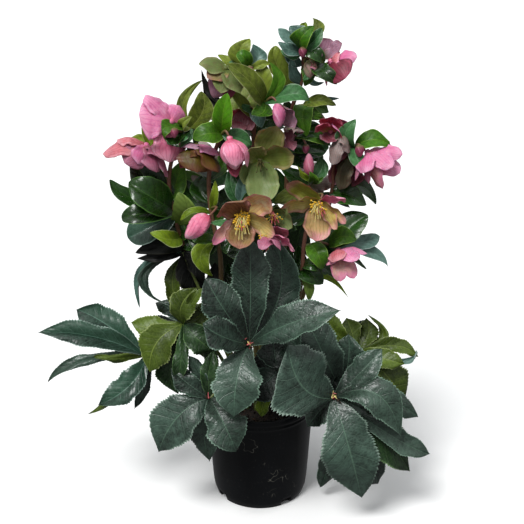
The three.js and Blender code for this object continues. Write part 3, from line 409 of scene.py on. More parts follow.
def finishPiece(name, form, node):
    mesh = bpy.data.meshes.new(name)
    mesh.from_pydata(np.concatenate(form["points"]), [], form["faces"])
    for skinName in form["skins"]:
        mesh.materials.append(materials[skinName])
    mesh.polygons.foreach_set("material_index", form["skin"])
    mesh.polygons.foreach_set("use_smooth", [True] * len(mesh.polygons))
    corners = np.empty(len(mesh.loops), int)
    mesh.loops.foreach_get("vertex_index", corners)
    layer = mesh.uv_layers.new(name="blade")
    layer.data.foreach_set("uv", np.concatenate(form["blade"])[corners].ravel())
    mesh.attributes.new("tint", "FLOAT", "POINT").data.foreach_set("value", np.concatenate(form["tint"]))
    mesh.set_sharp_from_angle(angle=math.radians(62))
    mesh.update()
    piece = bpy.data.objects.new(name, mesh)
    bpy.context.scene.collection.objects.link(piece)
    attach(piece, "root")
    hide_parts(node)
    return piece


def camelName(node):
    first, *rest = node.split("_")
    return first + "".join(word.capitalize() for word in rest)


# curves, tubes and blades

def curveThrough(points, step=2.5 * mm):
    # a smooth curve through the points, sampled every step or so
    points = [np.asarray(p, float) for p in points]
    ends = [2 * points[0] - points[1], *points, 2 * points[-1] - points[-2]]
    samples = []
    for a, b, c, d in zip(ends, ends[1:], ends[2:], ends[3:]):
        ab, bc, cd = [max(1e-6, math.dist(p, q)) ** 0.5 for p, q in ((a, b), (b, c), (c, d))]
        leave = ((b - a) / ab - (c - a) / (ab + bc) + (c - b) / bc) * bc
        arrive = ((c - b) / bc - (d - b) / (bc + cd) + (d - c) / cd) * bc
        count = max(2, round(math.dist(b, c) / step))
        t = np.arange(count)[:, None] / count
        samples.append((2 * t**3 - 3 * t**2 + 1) * b + (t**3 - 2 * t**2 + t) * leave
                       + (3 * t**2 - 2 * t**3) * c + (t**3 - t**2) * arrive)
    return np.concatenate([*samples, points[-1][None]])


def addTube(form, path, radii, skinName, sides=10, tint=0.5, ridge=0.0):
    radii = np.broadcast_to(radii, len(path))
    tangents = unit(np.gradient(path, axis=0))
    normal = unit(np.cross(tangents[0], [0.31, 0.95, 0.05]))
    angles = np.arange(sides) * 2 * math.pi / sides
    ridges = 1 + ridge * np.cos(5 * angles)[:, None]
    rings = []
    for centre, tangent, radius in zip(path, tangents, radii):
        normal = unit(normal - tangent * np.dot(normal, tangent))
        other = np.cross(tangent, normal)
        ring = np.cos(angles)[:, None] * normal + np.sin(angles)[:, None] * other
        rings.append(centre + radius * ridges * ring)
    along = np.linspace(0, 1, len(path))
    blade = np.stack([np.repeat(along, sides), np.tile(np.arange(sides) / sides, len(path))], 1)
    addPatch(form, np.concatenate(rings), ringFaces(len(path), sides), skinName, blade, tint)


# laps: how often one sepal laps over the next, twist: how far a lap winds round on its way to the
# tip, inner and step: radius inside a lap and how far its edge stands out
eggWrap = {"laps": 3, "twist": 0.22, "inner": 0.84, "step": 0.24}


def addEgg(form, root, tip, width, skinName, laps=eggWrap["laps"], sides=40, rows=18):
    way = unit(tip - root)
    across = unit(np.cross([0.2, 0.3, 1.0], way))
    over = np.cross(way, across)
    along = np.linspace(0, 1, rows)[:, None]
    angle = np.arange(sides)[None, :] * 2 * math.pi / sides
    swell = np.sin(math.pi * along ** 0.86) ** 0.6 * (1 - 0.14 * along) + 0.03
    lap = ((angle / (2 * math.pi) + eggWrap["twist"] * along) * laps) % 1.0
    radius = 0.5 * width * swell * (eggWrap["inner"] + eggWrap["step"] * lap ** 3)
    points = (root + way * (along * math.dist(root, tip))[..., None]
              + across * (radius * np.cos(angle))[..., None] + over * (radius * np.sin(angle))[..., None])
    blade = np.stack([np.broadcast_to(along, lap.shape), 0.5 + 0.5 * lap], -1).reshape(-1, 2)
    addPatch(form, points.reshape(-1, 3), ringFaces(rows, sides), skinName, blade)


outlines = {
    "leaflet": lambda t: 0.05 * (1 - t) + np.sin(math.pi * t ** 1.3) ** (0.62 + 0.45 * t),
    "bract": lambda t: 0.16 * (1 - t) ** 2 + np.sin(math.pi * t ** 0.9) ** 0.68,
    "sepal": lambda t: 0.2 * (1 - t) ** 2 + np.sin(math.pi * t ** 1.45) ** 0.42,
}
# step: row spacing, cols: across, curl: how the margins turn down, cup: how they turn up, wave: how
# deep they ripple and ripples how often, lobes: how uneven the outline is, roll: how the skin rolls,
# quilt: how far it swells between side veins, teeth: depth of the saw edge and toothGap its pitch
bladeStyles = {
    "leaflet": {"step": 1.1, "cols": 16, "curl": 0.16, "cup": 0.0, "wave": 2.6, "ripples": 1.9, "lobes": 1.0,
                "roll": 3.8, "quilt": 0.4, "veins": 9, "teeth": 0.11, "toothGap": 3.5, "thickness": 0.7},
    "bract": {"step": 1.8, "cols": 12, "curl": 0.12, "cup": 0.0, "wave": 0.9, "ripples": 1.6, "lobes": 0.35,
              "roll": 1.4, "quilt": 0.28, "veins": 6, "teeth": 0.0, "toothGap": 5.0, "thickness": 0.6},
    "sepal": {"step": 1.5, "cols": 14, "curl": 0.0, "cup": 0.24, "wave": 1.5, "ripples": 2.6, "lobes": 0.4,
              "roll": 1.6, "quilt": 0.0, "veins": 6, "teeth": 0.0, "toothGap": 5.0, "thickness": 0.6},
}


def addBlade(form, root, mid, tip, width, face, kind, skins, fold=0.25, tint=None, calm=1.0):
    # a two-sided skin round a midrib that passes mid: t runs along it and s from margin to margin
    style = bladeStyles[kind]
    length = math.dist(root, tip)
    rows = max(9, round(length / (style["step"] * mm))) + 1
    cols = style["cols"] + 1
    t = np.linspace(0, 1, rows)[:, None]
    s = np.linspace(-1, 1, cols)[None, :]
    bow, offRib = np.sin(math.pi * t), np.abs(s)
    control = 2 * mid - 0.5 * (root + tip)
    rib = (1 - t) ** 2 * root + 2 * t * (1 - t) * control + t ** 2 * tip
    tangent = unit(2 * (1 - t) * (control - root) + 2 * t * (tip - control))
    side = unit(np.cross(tip - root, face))
    normal = unit(np.cross(side, tangent))
    twist = dice.uniform(-0.22, 0.22) * (t - 0.2)
    across, up = np.cos(twist) * side + np.sin(twist) * normal, np.cos(twist) * normal - np.sin(twist) * side

    lopsided = 1 + 0.05 * np.sin(2 * math.pi * (1.2 * t + dice.random()) + 1.5 * s)
    for pace, depth in ((2.6, 0.06), (5.3, 0.035)):
        phases = np.where(s > 0, dice.random(), dice.random())
        lopsided = lopsided + style["lobes"] * depth * np.sin(2 * math.pi * (pace * t + phases)) * bow
    reach = np.maximum(0.5 * width * outlines[kind](t) * lopsided, 0.35 * mm)
    teeth = ((t * length / (style["toothGap"] * mm)) % 1.0 - 0.5) * offRib ** 8
    out = s * reach * (1 + style["teeth"] * teeth * np.minimum(1, 6 * (1 - t)))
    ripple = np.sin(2 * math.pi * (style["ripples"] * t + np.where(s > 0, dice.random(), dice.random())))
    wave = style["wave"] * mm * ripple * s ** 2 * bow
    rolling = np.sin(2 * math.pi * (1.2 * t + dice.random()) + 2.4 * s)
    roll = style["roll"] * mm * rolling * offRib * bow ** 0.5
    phase = style["veins"] * t - leafVeins["slant"] * offRib
    swell = style["quilt"] * mm * np.sin(math.pi * phase) ** 2 * 4 * offRib * (1 - offRib)
    rise = (np.abs(out) * math.sin(fold) + (style["cup"] - style["curl"]) * s ** 2 * reach
            + calm * (wave + roll) + swell)
    middle = (rib[:, None, :] + across[:, None, :] * (out * math.cos(fold))[..., None]
              + up[:, None, :] * rise[..., None])
    half = 0.5 * style["thickness"] * mm * (1 - 0.7 * s ** 2) * (1.25 - 0.75 * t)
    shift = up[:, None, :] * half[..., None]
    points = np.concatenate([(middle + shift).reshape(-1, 3), (middle - shift).reshape(-1, 3)])

    count = rows * cols
    top = gridFaces(rows, cols)
    bottom = [[i + count for i in reversed(face)] for face in top]
    loop = [*range(cols), *range(2 * cols - 1, count, cols), *range(count - 2, count - cols - 1, -1),
            *range(count - 2 * cols, 0, -cols)]
    margin = [[a, a + count, b + count, b] for a, b in zip(loop, loop[1:] + loop[:1])]
    upper, lower = skins
    blade = np.stack(np.broadcast_arrays(t, (s + 1) / 2), -1).reshape(-1, 2)
    addPatch(form, points, top + bottom + margin, [upper] * len(top) + [lower] * (len(bottom) + len(margin)),
             np.concatenate([blade, blade]), dice.random() if tint is None else tint)


def leafPair(skinName):
    return skinName, skinName + "Under"


# pot: sizes in millimetres, with drain notches cut into its foot

pot = {"rimRadius": 68.5, "height": 132.0, "soilLevel": 120.0, "sides": 128,
       "notches": 4, "notchTurn": 0.39, "notchReach": (50, 62), "notchHalf": 7, "notchTop": 9.0}


def cutNotches(piece):
    cutter = newForm()
    near, far = pot["notchReach"]
    half = pot["notchHalf"]
    for i in range(pot["notches"]):
        angle = 2 * math.pi * (i + pot["notchTurn"]) / pot["notches"]
        way = np.array([math.cos(angle), math.sin(angle), 0])
        wide = np.array([-math.sin(angle), math.cos(angle), 0])
        corners = [way * a + wide * b + np.array([0, 0, c]) for c in (-1.0, pot["notchTop"])
                   for a, b in ((near, -half), (far, -half), (far, half), (near, half))]
        addPatch(cutter, np.array(corners) * mm, ringFaces(2, 4), "pot")
    shape = bpy.data.meshes.new("notchCutter")
    shape.from_pydata(np.concatenate(cutter["points"]), [], cutter["faces"])
    cutterObject = bpy.data.objects.new("notchCutter", shape)
    bpy.context.scene.collection.objects.link(cutterObject)
    cut = piece.modifiers.new("notches", "BOOLEAN")
    cut.object, cut.operation, cut.solver = cutterObject, "DIFFERENCE", "EXACT"
    bpy.context.view_layer.update()
    done = bpy.data.meshes.new_from_object(piece.evaluated_get(bpy.context.evaluated_depsgraph_get()))
    piece.modifiers.clear()
    piece.data = done
    bpy.data.objects.remove(cutterObject)


def makePot():
    rim, top = pot["rimRadius"], pot["height"]
    outer = [(1, 0.4), (49, 0.4), (50, 0), (54, 0), (55.2, 0.5), (57.2, 7.0), (57.8, 9.0), (58.3, 13.0),
             (59, 18), (61.2, 50), (63.3, 84), (65.2, 114), (65.4, 116.6), (66.1, 117.6), (66.3, 118.4),
             (65.8, 119.2), (65.8, 121.4), (66.3, 122.6), (67.9, 123.6), (68.3, 124.6), (rim, 126),
             (rim, top - 1.2), (rim - 0.5, top - 0.3), (rim - 1.2, top)]
    inner = [(rim - 2.2, top - 0.1), (rim - 2.7, top - 1.0), (63.0, 112), (56.7, 18), (54.5, 9), (50.5, 3.2),
             (1, 3.0)]
    profile = outer + inner
    form = newForm()
    addPatch(form, turnedPoints(profile, pot["sides"]), ringFaces(len(profile), pot["sides"]), "pot")
    cutNotches(finishPiece("nurseryPot", form, "pot"))


# soil

soil = {"crumbs": 420, "biggest": 3.2, "lumps": 2.6, "edge": 62.6, "sides": 96, "rings": 34}
crumb = {"rows": 5, "sides": 7, "knobs": 0.28, "narrow": 0.55, "wide": 1.3}


def addCrumb(form, centre, size, skinName):
    # a squashed, knobbly ball
    rows, sides = crumb["rows"], crumb["sides"]
    bend = np.linspace(0.12, math.pi - 0.12, rows)[:, None]
    turn = np.arange(sides)[None, :] * 2 * math.pi / sides
    knobs = 1 + dice.uniform(-crumb["knobs"], crumb["knobs"], (rows, sides))
    ball = np.stack([np.sin(bend) * np.cos(turn), np.sin(bend) * np.sin(turn), np.cos(bend) + 0 * turn], -1)
    ball = ball * knobs[..., None] * size * dice.uniform(crumb["narrow"], crumb["wide"], 3)
    faces = [face[::-1] for face in ringFaces(rows, sides)]
    addPatch(form, ball.reshape(-1, 3) + centre, faces, skinName, tint=dice.random())


def soilHeight(x, y):
    bumps = noise.noise(Vector((x * 60, y * 60, 3.0))) + 0.5 * noise.noise(Vector((x * 170, y * 170, 7.0)))
    return pot["soilLevel"] * mm - 0.4 * mm + soil["lumps"] * mm * 0.5 * bumps


def makeSoil():
    form = newForm()
    edge = soil["edge"]
    profile = [(1, 3.4), (49, 5.0), (53, 12), (56, 20), (edge, pot["soilLevel"] - 3)]
    profile += [(radius, soilHeight) for radius in np.linspace(edge, 0.6, soil["rings"])]
    addPatch(form, turnedPoints(profile, soil["sides"]), ringFaces(len(profile), soil["sides"]), "soil")
    for i in range(soil["crumbs"]):
        radius, turn = (edge - 4) * mm * math.sqrt(dice.random()), dice.uniform(0, 2 * math.pi)
        x, y = radius * math.cos(turn), radius * math.sin(turn)
        size = soil["biggest"] * mm * dice.uniform(0.25, 1.0) ** 1.5
        centre = np.array([x, y, soilHeight(x, y) + 0.2 * size])
        addCrumb(form, centre, size, "bark" if i % 4 == 0 else "soil")
    finishPiece("pottingSoil", form, "soil")


makePot()
makeSoil()
print("pot and soil made")

# basal leaves: root on the soil, route and hub of the stalk, then for each leaflet a place that
# its midrib passes, its tip, width and fold, and where it has its own, its tint and skin, where a light
# tint partly paints the sky's sheen and the darkest skin paints shade; dry is how many old scraps lie on the
# hub

stalk = {"foot": 2.7, "top": 1.7}
# leaves further behind the pot's axis than this turn their upper sides to the back
behind = -40
fanSpread = 190
towardViewer, awayFromViewer = np.array([0, -0.7, 0.7]), np.array([0, 0.7, 0.7])


def facing(out):
    return awayFromViewer if out < behind else towardViewer


def fan(hub, heading, length, count):
    # an even fan of leaflets for the leaves behind
    leaflets = []
    for i in range(count):
        spread = i / (count - 1) - 0.5
        angle = math.radians(heading + fanSpread * spread)
        reach = length * (1 - 0.35 * abs(spread))
        east, north = reach * math.cos(angle), reach * math.sin(angle)
        mid, tip = [[hub[0] + share * east, hub[1] + up, hub[2] + share * north]
                    for share, up in ((0.55, 6), (1, -26))]
        leaflets.append([mid, tip, 40 - 12 * abs(spread), 0.25, 0.2 + 0.3 * (i % 2)])
    return leaflets


basalLeaves = {
    "leaf_front": {"root": [-5, -18], "route": [[-9, 166, 40]], "hub": [-13, 200, 60], "dry": 7,
        "leaflets": [
        [[-11, 277, 52], [-12, 342, 36], 46, 0.22, 0.3],
        [[24, 270, 34], [16, 345, 22], 50, 0.3, 0.35],
        [[-44, 249, 72], [-64, 289, 62], 44, 0.25, 0.12],
        [[-46, 211, 86], [-69, 228, 90], 42, 0.3, 0.1],
        [[-28, 153, 98], [-32, 98, 108], 56, 0.2, 1.0],
        [[38, 229, 86], [97, 246, 94], 44, 0.3, 0.6]]},
    "leaf_lower_front": {"root": [7, -19], "route": [[14, 146, 36]], "hub": [22, 166, 52], "leaflets": [
        # the darkest basal skin on these leaflets is painted shade for the shadow they lie in
        [[6, 146, 68], [-25, 127, 80], 44, 0.25, 0.2, "basalDark"],
        [[10, 134, 44], [2, 109, 50], 36, 0.25, 0.0, "basalDark"],
        [[5, 120, 60], [2, 99, 66], 17, 0.3, 0.1, "lime"],
        [[4, 173, 34], [2, 192, 16], 34, 0.25, 0.0, "basalDark"],
        [[18, 186, 40], [16, 212, 28], 40, 0.25, 0.0]]},
    "leaf_left": {"root": [-15, -15], "route": [[-38, 150, 44]], "hub": [-62, 125, 60], "dry": 3,
        "leaflets": [
        [[-102, 99, 74], [-128, 47, 66], 58, 0.25, 0.45, "basalSoft"],
        [[-45, 88, 92], [-30, 47, 98], 48, 0.22, 0.3],
        [[-70, 79, 70], [-64, 33, 66], 32, 0.3, 0.45],
        [[-88, 145, 58], [-109, 167, 48], 28, 0.3, 0.2],
        [[-75, 162, 50], [-87, 185, 46], 17, 0.3, 0.2],
        [[-63, 158, 54], [-56, 192, 42], 22, 0.4, 0.2, "basalGreen"]]},
    "leaf_far_left": {"root": [-28, 3], "route": [[-86, 196, 0]], "hub": [-139, 184, 5], "leaflets": [
        [[-185, 227, -8], [-220, 247, -12], 41, 0.2, 0.45, "basalTeal"],
        [[-203, 211, 14], [-268, 216, 20], 37, 0.6, 0.35, "basalTeal"],
        [[-213, 179, 30], [-261, 148, 30], 17, 0.5, 0.7],
        [[-177, 181, 33], [-203, 183, 33], 12, 0.4, 0.3, "basalOlive"],
        [[-160, 144, 38], [-201, 115, 40], 36, 0.35, 0.45, "basalTeal"],
        [[-176, 131, 32], [-215, 102, 34], 10, 0.4, 0.3, "basalOlive"],
        [[-141, 148, 14], [-156, 110, 8], 16, 0.35, 0.2]]},
    "leaf_olive_left": {"root": [-24, -9], "route": [[-56, 196, 12]], "hub": [-92, 228, 15], "leaflets": [
        [[-127, 222, 14], [-155, 230, 8], 30, 0.3, 1.0],
        [[-125, 203, 32], [-135, 162, 36], 44, 0.2, 0.45],
        [[-110, 170, 22], [-101, 131, 26], 32, 0.3, 0.1, "basalGreen"],
        [[-95, 187, 46], [-102, 145, 50], 20, 0.45, 0.4, "basalGreen"],
        [[-75, 207, 36], [-57, 191, 30], 36, 0.3, 0.3, "basalGreen"],
        [[-104, 279, 4], [-93, 316, -8], 20, 0.3, 0.15],
        [[-94, 252, 26], [-75, 276, 20], 34, 0.2, 0.2],
        [[-109, 248, 8], [-125, 256, 6], 19, 0.3, 0.0, "basal"],
        [[-82, 254, 30], [-66, 277, 28], 14, 0.3, 0.6],
        [[-62, 190, 24], [-57, 139, 34], 17, 0.3, 0.3, "basalGreen"],
        [[-74, 238, 14], [-58, 254, 8], 28, 0.25, 0.1]]},
    "leaf_upper_left": {"root": [-20, -1], "route": [[-58, 236, 12]], "hub": [-90, 322, 6], "leaflets": [
        [[-135, 304, -2], [-144, 250, 2], 15, 0.6, 0.7, "grey"],
        [[-139, 289, 14], [-107, 252, 18], 15, 0.45, 0.3],
        [[-83, 296, 8], [-68, 265, 8], 36, 0.2, 0.2, "withered"],
        [[-75, 309, 10], [-66, 281, 10], 24, 0.2, 0.1, "withered"]]},
    "leaf_right_front": {"root": [17, -15], "route": [[54, 150, 46]], "hub": [92, 125, 64], "dry": 8,
        "leaflets": [
        [[53, 141, 86], [34, 199, 80], 82, 0.15, 0.42, "basalSoft"],
        # the darkest basal skin on this small leaflet is painted shade
        [[96, 139, 52], [95, 156, 46], 15, 0.2, 0.1, "basalDark"],
        [[124, 162, 60], [149, 194, 50], 34, 0.3, 0.8],
        [[144, 131, 82], [177, 70, 90], 46, 0.25, 0.6],
        [[171, 67, 74], [215, 44, 66], 28, 0.3, 0.7],
        [[151, 73, 66], [191, 18, 58], 50, 0.3, 0.15, "basalGreen"],
        [[112, 55, 98], [131, -22, 84], 67, 0.18, 0.65, "basalSoft"],
        [[77, 110, 60], [60, 84, 50], 34, 0.25, 0.1],
        [[114, 116, 66], [140, 100, 62], 28, 0.25, 0.2]]},
    "leaf_right_behind": {"root": [24, -7], "route": [[62, 168, 22]], "hub": [100, 134, 34], "leaflets": [
        [[76, 190, 48], [55, 236, 40], 50, 0.2, 0.35],
        [[56, 184, 44], [33, 214, 38], 30, 0.3, 0.3],
        [[108, 176, 36], [107, 214, 28], 44, 0.25, 0.3],
        [[159, 122, 44], [197, 98, 40], 32, 0.3, 0.6],
        [[89, 40, 40], [77, -6, 34], 26, 0.3, 0.1],
        [[137, 42, 44], [151, -1, 34], 34, 0.3, 0.15]]},
    "leaf_olive_right": {"root": [27, 2], "route": [[76, 182, 4]], "hub": [118, 192, 8], "leaflets": [
        [[88, 222, 14], [85, 244, 10], 25, 0.3, 0.6],
        [[111, 217, 0], [104, 236, -8], 24, 0.2, 0.3],
        [[131, 214, -6], [128, 236, -14], 26, 0.2, 0.2],
        [[150, 212, -14], [130, 240, -24], 13, 0.4, 0.8],
        [[165, 198, 6], [193, 183, 8], 22, 0.35, 0.3],
        [[150, 181, 24], [177, 173, 28], 26, 0.3, 0.7],
        [[176, 176, 22], [190, 192, 18], 9, 0.5, 0.8, "grey"],
        [[158, 154, 26], [178, 118, 22], 52, 0.2, 0.4]]},
    "leaf_back_left": {"root": [-19, 17], "route": [[-46, 200, -50]], "hub": [-72, 222, -76],
        "leaflets": fan([-72, 222, -76], 205, 78, 4)},
    "leaf_back": {"root": [1, 25], "route": [[4, 200, -54]], "hub": [8, 232, -84],
        "leaflets": fan([8, 232, -84], 272, 84, 4)},
    "leaf_back_right": {"root": [20, 16], "route": [[46, 196, -48]], "hub": [82, 216, -72],
        "leaflets": fan([82, 216, -72], 335, 74, 4)},
}


dryBit = {"off": 3, "bend": 5, "foot": 1.0, "tip": 0.4}


def addDryBit(form, centre, skinName):
    # a shrivelled scrap of old flower lying where the leaflets meet
    off, bent = dryBit["off"], dryBit["bend"]
    start = centre + (towardViewer * off + dice.uniform(-off, off, 3)) * mm
    bend, end = [start + (towardViewer * 0.5 * bent + dice.uniform(-bent, bent, 3)) * mm for _ in range(2)]
    path = curveThrough([start, bend, end], 1.2 * mm)
    addTube(form, path, np.linspace(dryBit["foot"], dryBit["tip"], len(path)) * mm, skinName, sides=7)


def makeBasalLeaf(node, leaf):
    form = newForm()
    x, y = leaf["root"]
    ground = np.array([x, y, pot["soilLevel"] - 12]) * mm
    above = np.array([1.1 * x, 1.1 * y, pot["soilLevel"] + 12]) * mm
    centre = spot(leaf["hub"])
    path = curveThrough([ground, above, *[spot(place) for place in leaf["route"]], centre])
    radii = np.linspace(stalk["foot"], stalk["top"], len(path)) * mm
    addTube(form, path, radii, "stalk", ridge=0.06, tint=0.2)
    face = facing(leaf["hub"][2])
    usual = "basalOlive" if "olive" in node else "basal"
    for mid, tip, width, fold, *own in leaf["leaflets"]:
        tint, skinName = own + [None, usual][len(own):]
        addBlade(form, centre, spot(mid), spot(tip), width * mm, face, "leaflet", leafPair(skinName),
                 fold, tint)
    for i in range(leaf.get("dry", 0)):
        addDryBit(form, centre, ("pistil", "filament", "bark")[i % 3])
    finishPiece(camelName(node), form, node)


for node, leaf in basalLeaves.items():
    makeBasalLeaf(node, leaf)
print("basal leaves made:", len(basalLeaves))

# flowering stems: path of the stem, its twigs, small round buds as place and radius, and the
# bracts as root, a place on the midrib, tip, width and finish

shoot = {"foot": 3.4, "top": 2.2, "twigFoot": 1.8, "twigTop": 1.2, "bractFold": 0.36}


def rosette(centre, length, width, count):
    # bracts spread over the half circle behind
    bracts = []
    for i in range(count):
        angle = math.pi * (1.0 + i / (count - 1))
        mid, tip = [[centre[0] + reach * math.cos(angle), centre[1] + up, centre[2] + reach * math.sin(angle)]
                    for reach, up in ((0.5 * length, 12), (length, 4 + 8 * (i % 2)))]
        bracts.append([centre, mid, tip, width, ("green", "teal", "dark")[i % 3]])
    return bracts


